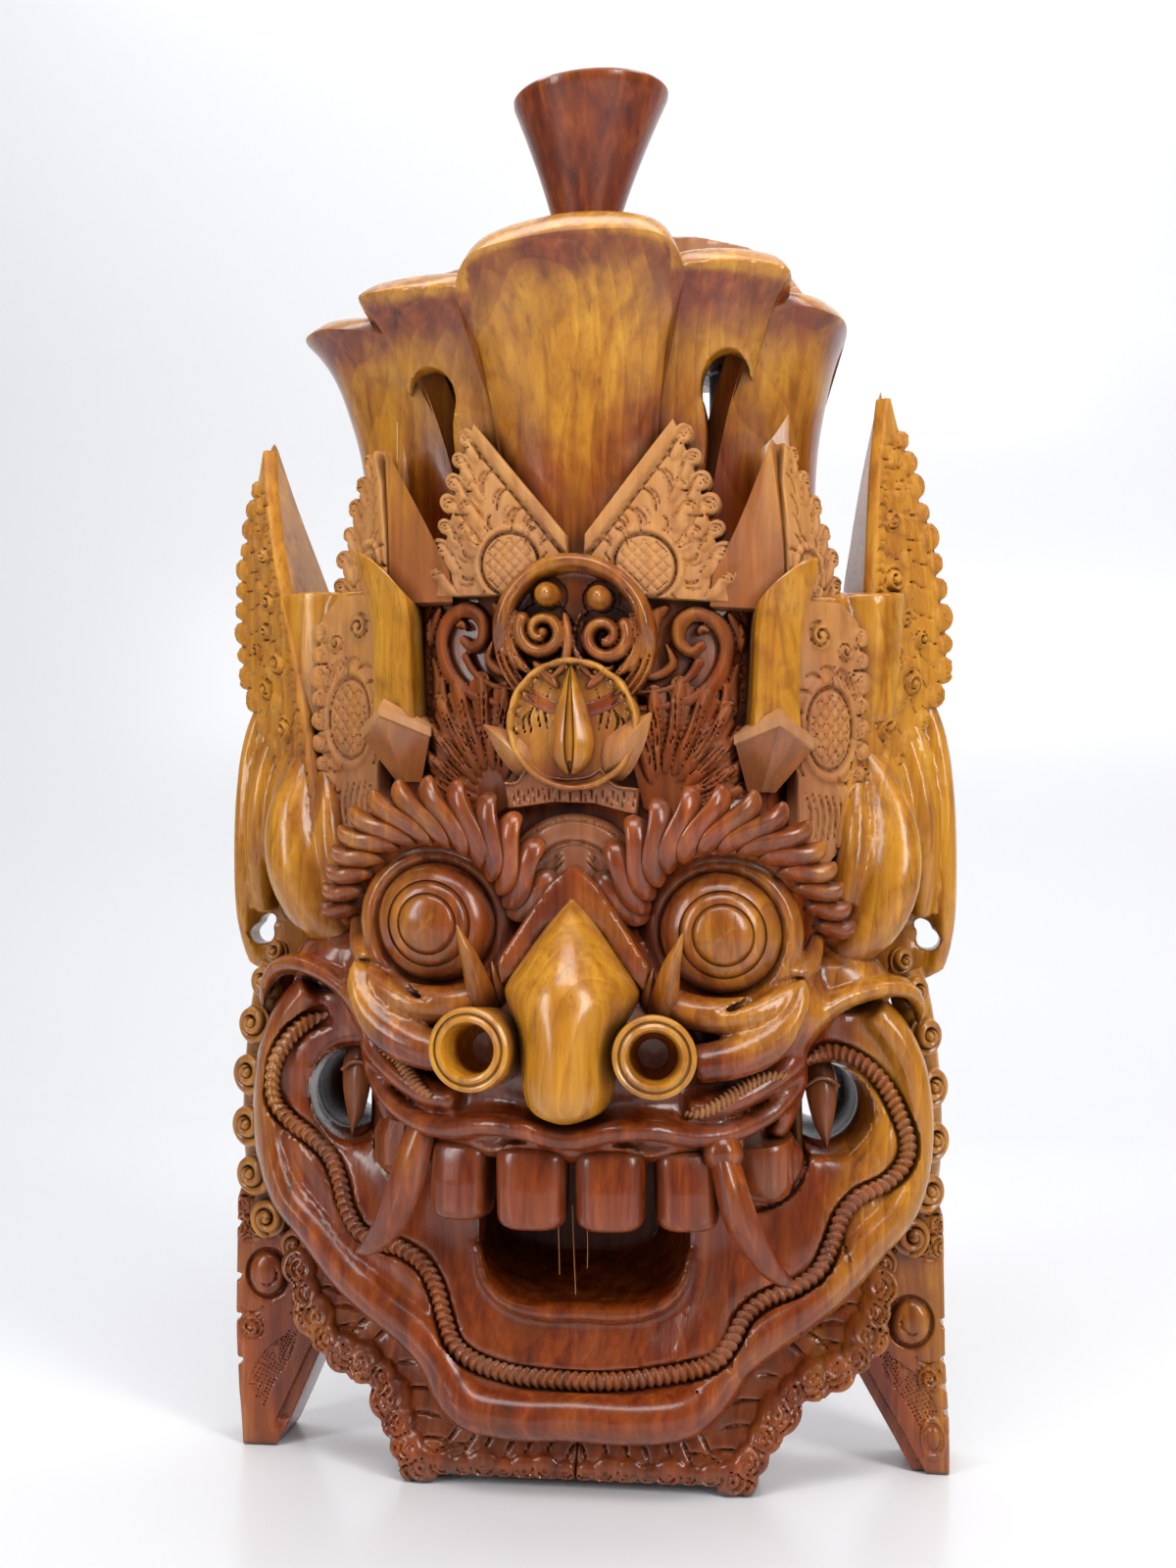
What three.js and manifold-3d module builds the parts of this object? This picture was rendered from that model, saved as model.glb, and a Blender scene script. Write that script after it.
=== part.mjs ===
// Barong mask: a carved wooden mask with a tall flared crown, standing on the
// two feet of its side wings and on the foot of its mane.
// Millimetres. +X is to the right of somebody facing the mask, -Y is the way
// the face looks, +Z is up. The design tables below keep the flat back at y = 0
// and the table at z = 0; the finished solid is moved so that the origin is at
// the bottom centre of its box.
import * as THREE from 'three';
import { mergeVertices } from 'three/addons/utils/BufferGeometryUtils.js';
import Module from 'manifold-3d';

const wasm = await Module();
wasm.setup();

// ---------------------------------------------------------------- dimensions
const FINIAL = { zTop: 600, zBase: 500, rRim: 34, rNeck: 9.5, y: -38, xBase: -3, xTop: 1 };
const CROWN = { rx: 134, ry: 96, zFoot: 392, flareFrom: 0.7, flarePower: 2.3, wall: 12 };
const PETALS = [ // middle angle, half angle, crest height, drop to the edges, outward bulge
  { at: 0, half: 19.5, z: 528, drop: 13, bulge: 7 },
  { at: 34, half: 14.5, z: 521, drop: 10, bulge: 6 },
  { at: 66, half: 19, z: 508, drop: 4, bulge: 3 },
];
const SLOT = { zTop: 479, zLow: 417, xIn: 55, xOut: 76, xLow: 52 };
const ROOF = { z: 500, thick: 16, archTop: 541, archHalf: 78, archDepth: 20 };
const LEAF = { zFoot: 376, innerApex: [41, 446], valley: [3, 398], outerApex: [95, 436] };
const MEDALLION = { z: 357, r: 34, y: -104 };
const SHELL = { z: 321, r: 27, y: -101 };
const POST = { xIn: 68, xOut: 94, zLow: 312, zTop: 395, y: -79, depth: 30 };
const SPIKE = { tip: [141, 460], base: 376, y: -22 };
const WING = { xOut: 158, xIn: 112, depth: 30 };
const EAR = { hole: [151, 232], rHole: 4.4, y: -12, thick: 13 };
const EYE = { x: 59, z: 238, y: -94, rLid: 29, rBoss: 24.7, rRing: 17.1, rDisc: 11.8 };
const NOSE = { tip: 167, top: 248, y: -150 };
const NOSTRIL = { x: 36.5, z: 192, y: -140, rOut: 16.8, rHole: 9.6, depth: 30 };
const TEETH = { z: 133.5, half: 17, inner: [15.5, 14.3], outer: [45.5, 12.8], y: -108 };
const RIM = { rFront: 15, rSide: 10 };
const MANE = { r: 9.2, y: -6, depth: 30 };
const FOOT = { xOut: 157, xIn: 143, depth: 40 };
const BROW = { lobes: 11, rise: 15, half: 13 };
const CHEEK = { x: 104, z: 164, r: 21, rHole: 12.5 };
const MERGE = 0.2; // facets flatter than this are merged
const SEAT = { half: 60, y0: -28, y1: -82 };

// Outer edge of the head block from the chin to the crown: height, half width, depth.
const HEAD = [
  [4, 44, 54], [22, 56, 62], [45, 64, 72], [62, 76, 68], [112, 134, 56], [150, 144, 52],
  [180, 141, 56], [205, 130, 72], [226, 116, 86], [260, 110, 90], [300, 103, 86],
  [384, 100, 86], [410, 92, 78],
];
// The hollow behind the face, carved from the back.
const HOLLOW = [
  [92, 34, 12], [112, 58, 20], [150, 68, 23], [172, 72, 36], [200, 76, 54], [256, 74, 60],
  [310, 68, 58], [345, 58, 50], [368, 40, 34],
];
// Middle of the smooth rim that frames the jaw, from the chin up one side: x, y, z.
const RIM_PATH = [
  [0, -80, 34], [24, -80, 34], [45, -78, 37], [55, -74, 46], [62, -72, 57], [74, -70, 68],
  [90, -68, 79], [104, -64, 90], [118, -59, 106], [131, -55, 119], [139, -52, 137],
  [140, -51, 158], [137, -52, 178], [130, -55, 194], [120, -60, 206],
];

// ------------------------------------------------------------------- kernel
const V = (x, y, z) => new THREE.Vector3(x, y, z);
const lerp = (a, b, t) => a + (b - a) * t;

function solid(geometry) {
  const bare = new THREE.BufferGeometry();
  bare.setAttribute('position', geometry.getAttribute('position').clone());
  if (geometry.index) bare.setIndex(geometry.index.clone());
  const g = mergeVertices(bare, 1e-3);
  const p = g.getAttribute('position'), src = g.index.array, tri = [];
  for (let i = 0; i < src.length; i += 3) {
    const [a, b, c] = [src[i], src[i + 1], src[i + 2]];
    if (a !== b && b !== c && a !== c) tri.push(a, b, c);
  }
  const at = (i) => V(p.getX(i), p.getY(i), p.getZ(i));
  let volume = 0;
  for (let i = 0; i < tri.length; i += 3) volume += at(tri[i]).dot(at(tri[i + 1]).cross(at(tri[i + 2])));
  if (volume < 0) for (let i = 0; i < tri.length; i += 3) [tri[i], tri[i + 1]] = [tri[i + 1], tri[i]];
  return new wasm.Manifold(new wasm.Mesh({
    numProp: 3, vertProperties: new Float32Array(p.array), triVerts: new Uint32Array(tri),
  }));
}

function mirrored(geometry) {
  const g = geometry.clone();
  g.scale(-1, 1, 1);
  return g;
}
const both = (geometry) => [solid(geometry), solid(mirrored(geometry))];

// Closed skin over a list of rings with equal point counts.
function loft(rings) {
  const n = rings[0].length, pos = [], idx = [];
  for (const ring of rings) for (const q of ring) pos.push(q.x, q.y, q.z);
  for (let k = 0; k + 1 < rings.length; k++) for (let i = 0; i < n; i++) {
    const j = (i + 1) % n, a = k * n + i, b = k * n + j, c = a + n, d = b + n;
    idx.push(a, b, d, a, d, c);
  }
  for (const [k, flip] of [[0, false], [rings.length - 1, true]]) {
    const m = rings[k].reduce((s, q) => s.add(q), V(0, 0, 0)).divideScalar(n);
    const centre = pos.length / 3;
    pos.push(m.x, m.y, m.z);
    for (let i = 0; i < n; i++) {
      const a = k * n + i, b = k * n + (i + 1) % n;
      idx.push(...(flip ? [centre, a, b] : [centre, b, a]));
    }
  }
  const g = new THREE.BufferGeometry();
  g.setAttribute('position', new THREE.Float32BufferAttribute(pos, 3));
  g.setIndex(idx);
  return g;
}

// A tapering bar along a smooth curve; the section's first radius faces front.
function sweep(points, radius, sides = 6, steps = 12, twist = 0) {
  const curve = new THREE.CatmullRomCurve3(points.map((q) => V(...q)), false, 'centripetal');
  const rings = [];
  for (let k = 0; k <= steps; k++) {
    const t = k / steps, c = curve.getPointAt(t), T = curve.getTangentAt(t);
    const N = V(0, -1, 0); N.addScaledVector(T, -N.dot(T)).normalize();
    const B = new THREE.Vector3().crossVectors(T, N);
    const [rn, rb] = radius(t);
    const ring = [];
    for (let i = 0; i < sides; i++) {
      const a = 2 * Math.PI * i / sides + twist;
      ring.push(c.clone().addScaledVector(N, rn * Math.cos(a)).addScaledVector(B, rb * Math.sin(a)));
    }
    rings.push(ring);
  }
  return loft(rings);
}

// An outline in x, z given thickness from yBack towards the front.
function prism(outline, yBack, depth, holes = []) {
  const shape = new THREE.Shape(outline.map(([x, z]) => new THREE.Vector2(x, z)));
  for (const h of holes) shape.holes.push(new THREE.Path(h.map(([x, z]) => new THREE.Vector2(x, z))));
  const g = new THREE.ExtrudeGeometry(shape, { depth, bevelEnabled: false, steps: 1, curveSegments: 8 });
  g.rotateX(Math.PI / 2);
  g.translate(0, yBack, 0);
  return g;
}

// A turned form whose axis points to the front: radius, forward height.
function turned(profile, x, y, z, segments = 14) {
  const g = new THREE.LatheGeometry(profile.map(([r, h]) => new THREE.Vector2(r, h)), segments);
  g.rotateX(Math.PI);
  g.translate(x, y, z);
  return g;
}

// A slab that follows a surface f(u, v), thickened towards the inside.
function slab(f, thick, nu, nv) {
  const e = 1e-3, outer = [], inner = [];
  for (let j = 0; j <= nv; j++) for (let i = 0; i <= nu; i++) {
    const u = i / nu, v = j / nv, q = f(u, v);
    const du = f(Math.min(u + e, 1), v).sub(f(Math.max(u - e, 0), v));
    const dv = f(u, Math.min(v + e, 1)).sub(f(u, Math.max(v - e, 0)));
    const n = du.cross(dv).normalize();
    outer.push(q); inner.push(q.clone().addScaledVector(n, -thick));
  }
  const pos = [...outer, ...inner].flatMap((q) => [q.x, q.y, q.z]), idx = [];
  const m = outer.length, id = (i, j) => j * (nu + 1) + i;
  const quad = (a, b, c, d) => idx.push(a, b, c, a, c, d);
  for (let j = 0; j < nv; j++) for (let i = 0; i < nu; i++) {
    quad(id(i, j), id(i + 1, j), id(i + 1, j + 1), id(i, j + 1));
    quad(m + id(i, j), m + id(i, j + 1), m + id(i + 1, j + 1), m + id(i + 1, j));
  }
  for (let i = 0; i < nu; i++) {
    quad(id(i + 1, 0), id(i, 0), m + id(i, 0), m + id(i + 1, 0));
    quad(id(i, nv), id(i + 1, nv), m + id(i + 1, nv), m + id(i, nv));
  }
  for (let j = 0; j < nv; j++) {
    quad(id(0, j), id(0, j + 1), m + id(0, j + 1), m + id(0, j));
    quad(id(nu, j + 1), id(nu, j), m + id(nu, j), m + id(nu, j + 1));
  }
  const g = new THREE.BufferGeometry();
  g.setAttribute('position', new THREE.Float32BufferAttribute(pos, 3));
  g.setIndex(idx);
  return g;
}

// D-shaped sections with their flat side on the back plane.
function dLoft(table, n, power, yBack = 0) {
  return loft(table.map(([z, w, d]) => {
    const ring = [];
    for (let i = 0; i <= n; i++) {
      const a = Math.PI * i / n, c = Math.cos(a), s = Math.sin(a);
      ring.push(V(w * Math.sign(c) * Math.abs(c) ** (2 / power), yBack - d * s ** (2 / power), z));
    }
    return ring;
  }));
}

// An edge from a to b with a row of round lobes standing out to its left.
function scalloped(a, b, lobes, height, per = 3) {
  const out = [], dx = b[0] - a[0], dz = b[1] - a[1], len = Math.hypot(dx, dz);
  for (let i = 0; i < lobes * per; i++) {
    const t = i / (lobes * per), bump = height * Math.abs(Math.sin(Math.PI * t * lobes)) ** 0.7;
    out.push([a[0] + dx * t - dz / len * bump, a[1] + dz * t + dx / len * bump]);
  }
  return out;
}

const add = (list) => list.reduce((s, q) => s.add(q));

// -------------------------------------------------------------- head and jaw
// A bar that runs up both sides from its lowest point, which is the path's first.
const yoke = (path, radius, sides, steps) => solid(sweep([...path.slice(1).map(([x, y, z]) => [-x, y, z]).reverse(), ...path], (t) => radius(Math.abs(2 * t - 1)), sides, steps));
const headBlock = solid(dLoft(HEAD, 10, 2.5));
const muzzle = solid(dLoft([[152, 62, 76], [162, 80, 90], [180, 80, 98], [198, 68, 96], [214, 52, 88], [232, 36, 78]], 8, 2.1, -24));
const rim = yoke(RIM_PATH, (t) => [lerp(RIM.rFront, 13, t), lerp(RIM.rSide, 9.5, t) + 2.5 * Math.sin(Math.PI * Math.min(1, t * 1.25))], 7, 24);
let jaw = add([headBlock, muzzle, rim]);

// Mouth: a deep recess with a wall behind it, wider towards the front.
const mouthRing = (y, grow) => {
  const w = 45 + grow, low = 72 - grow, top = 150;
  return [[w, top], [w, 96], [w - 4, 83 - grow], [w - 13, low + 4], [w - 24, low], [0, low + 1]]
    .flatMap(([x, z], i, all) => [V(x, y, z)])
    .concat([[24 - w, low], [13 - w, low + 4], [4 - w, 83 - grow], [-w, 96], [-w, top]].map(([x, z]) => V(x, y, z)));
};
const mouthCut = solid(loft([mouthRing(-36, -7), mouthRing(-62, 0), mouthRing(-78, 5), mouthRing(-130, 16)]));
jaw = jaw.subtract(mouthCut);

// Cheek sockets, each with a hole right through to the back.
const socket = new THREE.SphereGeometry(1, 12, 7);
socket.scale(CHEEK.r, 24, CHEEK.r + 2);
socket.translate(CHEEK.x, -54, CHEEK.z);
const round = (x, z, rx, rz, n) => Array.from({ length: n }, (_, i) => [x + rx * Math.cos(2 * Math.PI * i / n), z + rz * Math.sin(2 * Math.PI * i / n)]);
const hole = prism(round(CHEEK.x, CHEEK.z - 1, CHEEK.rHole, CHEEK.rHole + 2.5, 12), 4, 80);
for (const cut of [...both(socket), ...both(hole)]) jaw = jaw.subtract(cut);
const fang = loft([[187, 5, 4], [176, 6, 5], [160, 5, 4.5], [142, 2.5, 3]].map(([z, w, d]) => [V(95 - w, -36, z), V(95, -36 - d, z), V(95 + w, -36, z), V(95, -36 + d, z)]));

// The hollow at the back.
jaw = jaw.subtract(solid(dLoft(HOLLOW, 10, 2.2, 1)));

// --------------------------------------------------------------------- face
const lowerLip = yoke([[0, -72, 70], [14, -73, 67], [28, -73, 66], [38, -72, 71], [44, -70, 80], [46, -68, 92]], (t) => [5.5, lerp(5, 3.4, t)], 6, 12);
const eye = both(turned([[0, -18], [EYE.rLid + 2, -18], [EYE.rLid + 0.5, 4.5], [EYE.rBoss + 1, 3.5], [EYE.rBoss - 0.5, -3.5], [EYE.rBoss - 3.5, 5.5], [EYE.rRing, 9.5], [EYE.rDisc, 12.5], [0, 15.5]], EYE.x, EYE.y, EYE.z, 12));
const noseRings = [[249, 1.5, -120, -104], [240, 10, -125, -104], [226, 22, -130, -104], [213, 28, -134, -101], [202, 25, -138, -103], [188, 19, -145, -110], [176, 16.5, -149, -114], [169, 11, NOSE.y + 0.5, -122], [166.5, 4, NOSE.y + 4, -132]]
  .map(([z, w, front, back]) => [V(-w, back, z), V(-w, lerp(back, front, 0.45), z), V(-w * 0.55, lerp(back, front, 0.86), z), V(0, front, z), V(w * 0.55, lerp(back, front, 0.86), z), V(w, lerp(back, front, 0.45), z), V(w, back, z)]);
const nose = solid(loft(noseRings));
const hood = solid(loft([[0, -86, 264, 0], [0, -104, 262, 1]].map(([, y, z, k]) => [V(0, y, z), V(-17, y + 2 * k, 244), V(-31, y + 4 * k, 222), V(31, y + 4 * k, 222), V(17, y + 2 * k, 244)])));
const horn = both(sweep([[36, -106, 203], [39, -115, 220], [45, -118, 238]], (t) => [lerp(8, 0.8, t), lerp(9, 0.8, t)], 5, 4));
const nostril = both(turned([[0, -34], [NOSTRIL.rOut - 1, -34], [NOSTRIL.rOut, -4], [NOSTRIL.rOut - 3.2, 0], [0, 0]], NOSTRIL.x, NOSTRIL.y, NOSTRIL.z, 12));
const nostrilBore = both(turned([[0, -NOSTRIL.depth], [NOSTRIL.rHole, -NOSTRIL.depth], [NOSTRIL.rHole, 20], [0, 20]], NOSTRIL.x, NOSTRIL.y, NOSTRIL.z, 12));
const tendril = both(sweep([[90, -98, 219], [89, -103, 205], [80, -108, 195], [67, -112, 191], [50, -112, 184]], (t) => [lerp(1, 11, Math.min(1, t * 1.6)), lerp(1, 9.5, Math.min(1, t * 1.5)) - 3 * Math.max(0, t - 0.8)], 5, 6));
const whisker = both(sweep([[141, -48, 202], [136, -54, 212], [122, -62, 214], [106, -70, 211], [92, -78, 203], [80, -84, 191]], (t) => [9, lerp(1.6, 4.6, Math.min(1, t * 2.5))], 5, 7));
const lip = yoke([[0, -124, 155], [18, -122, 158.5], [33, -118, 158], [48, -112, 155], [62, -106, 155.5], [73, -99, 160], [84, -90, 168]], (t) => [8, lerp(4.6, 3, t)], 5, 14);
const lipShelf = solid(prism([[-80, 162], [-62, 158], [-46, 157], [-20, 160], [0, 156], [20, 160], [46, 157], [62, 158], [80, 162], [60, 176], [30, 184], [-30, 184], [-60, 176]], -60, 60));
const toothRow = [];
for (const [[x, w], y, turn] of [[TEETH.inner, TEETH.y, 3], [TEETH.outer, TEETH.y + 7, 12]]) {
  const rings = [];
  for (const [k, f, g] of [[-1, 0.86, 0.72], [-0.8, 0.98, 0.98], [0.5, 0.98, 0.96], [1, 0.7, 0.6]]) {
    const ring = [];
    for (let i = 0; i < 8; i++) {
      const a = 2 * Math.PI * i / 8 + Math.PI / 8, c = Math.cos(a), s = Math.sin(a);
      ring.push(V(w * f * Math.sign(c) * Math.abs(c) ** 0.7, -10.5 * g * Math.sign(s) * Math.abs(s) ** 0.7, TEETH.half * k));
    }
    rings.push(ring);
  }
  const g = loft(rings);
  g.rotateZ(THREE.MathUtils.degToRad(turn));
  g.translate(x, y + 2, TEETH.z);
  toothRow.push(...both(g));
}
const gum = solid(prism([[-62, 147], [62, 147], [66, 162], [-66, 162]], -44, 58));
const tusk = both(sweep([[60, -100, 152], [64, -104, 138], [70, -104, 122], [77, -100, 108], [85, -94, 95]], (t) => [lerp(8, 3, t), lerp(6.6, 2.4, t)], 6, 7));
const molar = both(prism([[66, 158], [82, 163], [93, 158], [92, 144], [84, 134], [72, 132]], -48, 36));

// Brows: a roped bar over each eye, cut into lobes.
const brow = both(sweep([[20, -86, 250], [27, -88, 267], [44, -88, 281], [68, -85, 282], [88, -77, 272], [103, -66, 243]], (t) => {
  const cut = 0.72 + 0.28 * Math.abs(Math.sin(Math.PI * t * BROW.lobes));
  return [BROW.rise * cut, lerp(BROW.half, BROW.half - 4, Math.abs(2 * t - 1)) * cut];
}, 6, BROW.lobes * 2));

// --------------------------------------------------------------------- mane
const maneEdge = [[126, 82], [113, 53], [89, 44], [77, 25], [64, 1.5]];
const maneHalf = [];
for (let i = 0; i + 1 < maneEdge.length; i++) maneHalf.push(...scalloped(maneEdge[i], maneEdge[i + 1], [4, 3, 3, 3][i], 3.2).slice(i ? 0 : 1));
const maneOutline = [...maneHalf, [60, 0], [-60, 0], ...maneHalf.map(([x, z]) => [-x, z]).reverse(), [-118, 110], [0, 130], [118, 110]];
const mane = solid(prism(maneOutline, -22, 42)).subtract(mouthCut);
const volute = [[143, 212, 9], [149, 190, 10.4], [150.5, 168, 10.6], [151, 145, 10.8], [149, 122, 10.6], [142, 103, 9.8], [130, 90, 9]];
const lobeEdge = volute.flatMap(([x, z, r], i) => [-1, -0.4, 0.4, 1].map((k) => {
  const a = (i > 4 ? -0.7 : 0) - k * 1.15;
  return [x + r * Math.cos(a), z - r * Math.sin(-a)];
}));
const maneSide = both(prism([...lobeEdge, [112, 90], [112, 216]], -8, MANE.depth));
const seat = solid(prism([[-SEAT.half, 0], [SEAT.half, 0], [58, 22], [-58, 22]], SEAT.y0, SEAT.y0 - SEAT.y1));

// ---------------------------------------------------------- feet, wings, ears
const foot = both(prism([
  [118, 118], [124, 82], [119, 45], [143, 0], [157, 0],
  ...scalloped([FOOT.xOut, 8], [FOOT.xOut - 1, 118], 5, -1.8, 3).map(([x, z]) => [Math.min(x, FOOT.xOut + 1.5), z]),
  [150, 126],
].reverse(), 0, FOOT.depth));
const wing = both(prism([
  [96, 272], [117, 284], [140, 312], [153, 334], ...scalloped([WING.xOut, 350], [154, 420], 4, -2.2, 3),
  [150, 430], [120, 378], [96, 376],
], 0, WING.depth));
const spikeRing = (z, xin, xout, front) => [V(xin, -4, z), V(xin, SPIKE.y + 4, z), V(lerp(xin, xout, 0.55), front, z), V(xout, SPIKE.y + 2, z), V(xout, -8, z)];
const spike = both(loft([spikeRing(340, 114, 154, -44), spikeRing(376, 117, 158, -44), spikeRing(400, 124, 159, -38), spikeRing(430, 132, 154, -30), spikeRing(450, 137.5, 147, -24), spikeRing(SPIKE.tip[1], 140, 142.4, -20)]));
const sidePanel = both(loft([[276, 4], [300, 0], [372, 0]].map(([z, k]) => [V(84 + k, -20, z), V(86 + k, -66 + 2 * k, z), V(106 - k, -58 + 2 * k, z), V(130 - 3 * k, -38, z), V(130 - 3 * k, -8, z)])));
const earOutline = [[116, 232], [124, 219], [140, 212], [154, 214], [160, 226], [160.5, 250], [159, 275], [155, 305], [152, 330], [147, 343], [136, 340], [118, 318], [108, 290], [106, 256]];
const ear = both(prism(earOutline, EAR.y + 6, EAR.thick + 6, [round(EAR.hole[0], EAR.hole[1], EAR.rHole, EAR.rHole * 0.8, 8)]));
const earRidge = both(sweep([[121, -29, 317], [139, -27, 291], [146, -25, 262], [145, -23, 240]], (t) => [7 * Math.sin(Math.PI * (0.2 + 0.7 * t)), 6.5 * Math.sin(Math.PI * (0.2 + 0.7 * t))], 5, 6));
const earLobe = both(sweep([[125, -31, 298], [127, -43, 281], [123, -48, 258], [116, -48, 240], [106, -50, 226]], (t) => [lerp(7, 9, t), 12 * Math.sin(Math.PI * (0.22 + 0.56 * t))], 6, 7));

// --------------------------------------------------------------------- crown
const petals = [];
for (const { at, half, z, drop, bulge } of PETALS) {
  const f = (u, v) => {
    const k = 2 * u - 1, top = z - drop * k * k;
    const th = THREE.MathUtils.degToRad(at + half * k * lerp(0.72, 1, v ** 0.8));
    const s = lerp(CROWN.flareFrom, 1, v ** CROWN.flarePower);
    const push = 1 + bulge * (1 - k * k) * v / 110;
    return V(CROWN.rx * s * push * Math.sin(th), -CROWN.ry * s * push * Math.cos(th), lerp(CROWN.zFoot, top, v));
  };
  const g = slab(f, CROWN.wall, 4, 5);
  if (at) petals.push(...both(g)); else petals.push(solid(g));
}
const slot = both(prism([
  [SLOT.xLow, SLOT.zLow], [SLOT.xLow + 6, SLOT.zLow + 4], [SLOT.xOut - 4, SLOT.zTop - 30], [SLOT.xOut, SLOT.zTop - 12], [SLOT.xOut - 4, SLOT.zTop - 2],
  [(SLOT.xIn + SLOT.xOut) / 2 + 2, SLOT.zTop], [SLOT.xIn + 3, SLOT.zTop - 6], [SLOT.xIn, SLOT.zTop - 18],
], 10, 130));
const roofPlan = [[CROWN.rx * 0.86, -2]];
for (let i = 1; i < 10; i++) { const a = Math.PI * i / 10; roofPlan.push([CROWN.rx * 0.84 * Math.cos(a), -CROWN.ry * 0.86 * Math.sin(a)]); }
roofPlan.push([-CROWN.rx * 0.86, -2]);
const roof = solid(loft([0, ROOF.thick].map((h) => roofPlan.map(([x, y]) => V(x * lerp(0.93, 1, h / ROOF.thick), y * lerp(0.93, 1, h / ROOF.thick), ROOF.z - 8 + h)))));
const arch = solid(prism([[-CROWN.rx + 18, 486], [CROWN.rx - 18, 486], [104, 510], [ROOF.archHalf, 530], [50, 537], [22, ROOF.archTop], [-22, ROOF.archTop], [-50, 537], [-ROOF.archHalf, 530], [-104, 510]], 0, ROOF.archDepth));
const trumpet = [];
for (const [k, r] of [[0, FINIAL.rNeck + 3], [0.2, FINIAL.rNeck], [0.5, 13.5], [0.8, 23.5], [0.985, FINIAL.rRim], [1, FINIAL.rRim - 1.5]]) {
  const z = lerp(FINIAL.zBase, FINIAL.zTop, k), x = lerp(FINIAL.xBase, FINIAL.xTop, k);
  trumpet.push(Array.from({ length: 14 }, (_, i) => V(x + r * Math.cos(Math.PI * i / 7), FINIAL.y + r * Math.sin(Math.PI * i / 7), z)));
}
const finial = solid(loft(trumpet));

const innerLeaf = prism([[LEAF.valley[0], LEAF.valley[1]], [LEAF.valley[0], 374], [58, LEAF.zFoot - 4], ...scalloped([58, 380], [45, 436], 4, -2.5, 3), LEAF.innerApex], -72, 27);
const innerLeaves = both(innerLeaf);
const outerLeaf = slab((u, v) => {
  const th = THREE.MathUtils.degToRad(lerp(28, 68, u)), z = lerp(LEAF.zFoot - 6, lerp(386, LEAF.outerApex[1], Math.min(1, u / 0.72)) - (u > 0.72 ? (u - 0.72) * 90 : 0), v);
  return V(108 * Math.sin(th), -97 * Math.cos(th), z);
}, 16, 5, 2);
const outerLeaves = both(outerLeaf);

// ------------------------------------------------- diadem above the forehead
const discAt = (z, r, y, depth, n = 16, lift = 0) => solid(turned([[0, -depth], [r, -depth], [r, -2], [r - 2, 0], [0, lift]], 0, y, z, n));
const medallion = discAt(MEDALLION.z, MEDALLION.r, MEDALLION.y + 3, 22);
const roll = solid(sweep([[-31, -104, 376], [-18, -107, 388], [0, -108, 392], [18, -107, 388], [31, -104, 376]], () => [6, 5], 6, 8));
const ball = new THREE.SphereGeometry(6.5, 8, 5); ball.translate(12, -106, 374);
const curl = sweep([[6, -104, 362], [8, -106, 348], [20, -106, 344], [27, -105, 352], [22, -104, 361], [14, -104, 358]], (t) => [lerp(5, 3.5, t), lerp(4.6, 3, t)], 4, 7);
const shellDisc = discAt(SHELL.z, SHELL.r, SHELL.y, 20, 16);
const bud = (x, z, w, h, y) => loft([[z - h, w * 0.45, 3], [z - h * 0.35, w, 7], [z + h * 0.2, w * 0.7, 6], [z + h, 0.6, 1]].map(([q, hw, d]) => [V(x - hw, y, q), V(x, y - d, q), V(x + hw, y, q), V(x, y + 6, q)]));
const centreBud = solid(bud(0, 321, 9, 21, -106));
const sideBud = both(bud(22, 309, 9, 13, -104));
const fan = solid(prism([[-25, 284], [25, 284], [26, 300], [14, 297], [0, 302], [-14, 297], [-26, 300]], -70, 34));
const browArch = solid(prism([[-24, 252], [24, 252], [25, 268], [17, 281], [0, 287], [-17, 281], [-25, 268]], -70, 31));
const scrollPanel = both(prism([[30, 330], [36, 325], [64, 324], [66, 372], [40, 374], [34, 360]], -70, 28));
const leafPanel = both(prism([[26, 292], [46, 288], [62, 292], [65, 324], [30, 330], [24, 312]], -68, 27));
const post = both(loft([[POST.zLow, 0], [POST.zLow + 8, 1], [378, 1], [388, 0.8]].map(([z, k], i) => {
  const grow = i === 0 ? 3 : 0;
  return [V(POST.xIn + grow, POST.y + POST.depth, z), V(POST.xIn + 3 + grow, POST.y + 4, z), V(84, POST.y - 2 * k, z + (i === 3 ? 4 : 0)), V(POST.xOut - grow, POST.y + 6, z + (i === 3 ? 7 : 0)), V(POST.xOut - grow, POST.y + POST.depth, z + (i === 3 ? 5 : 0))];
})));
const bracket = both(prism([[68, 312], [66, 290], [80, 284], [94, 296], [97, 318], [82, 324]], -48, 30));
const ledge = both(prism([[84, 366], [128, 364], [128, 374], [90, 380]], -4, 46));

// -------------------------------------------------------------- one carving
let mask = add([
  jaw, lowerLip, ...both(fang), ...eye, nose, hood, ...horn, ...tendril, ...whisker,
  lip, lipShelf, ...toothRow, gum, ...tusk, ...molar, ...brow, mane, ...maneSide, seat, ...foot,
  ...wing, ...spike, ...sidePanel, ...ear, ...earRidge, ...earLobe, ...petals, roof, arch, finial,
  ...innerLeaves, ...outerLeaves, medallion, roll, ...both(ball), ...both(curl), shellDisc, centreBud,
  ...sideBud, fan, browArch, ...scrollPanel, ...leafPanel, ...post, ...bracket, ...ledge,
]);
for (const q of nostril) mask = mask.add(q);
for (const q of nostrilBore) mask = mask.subtract(q);
for (const q of slot) mask = mask.subtract(q);
mask = mask.simplify(MERGE);

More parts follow.
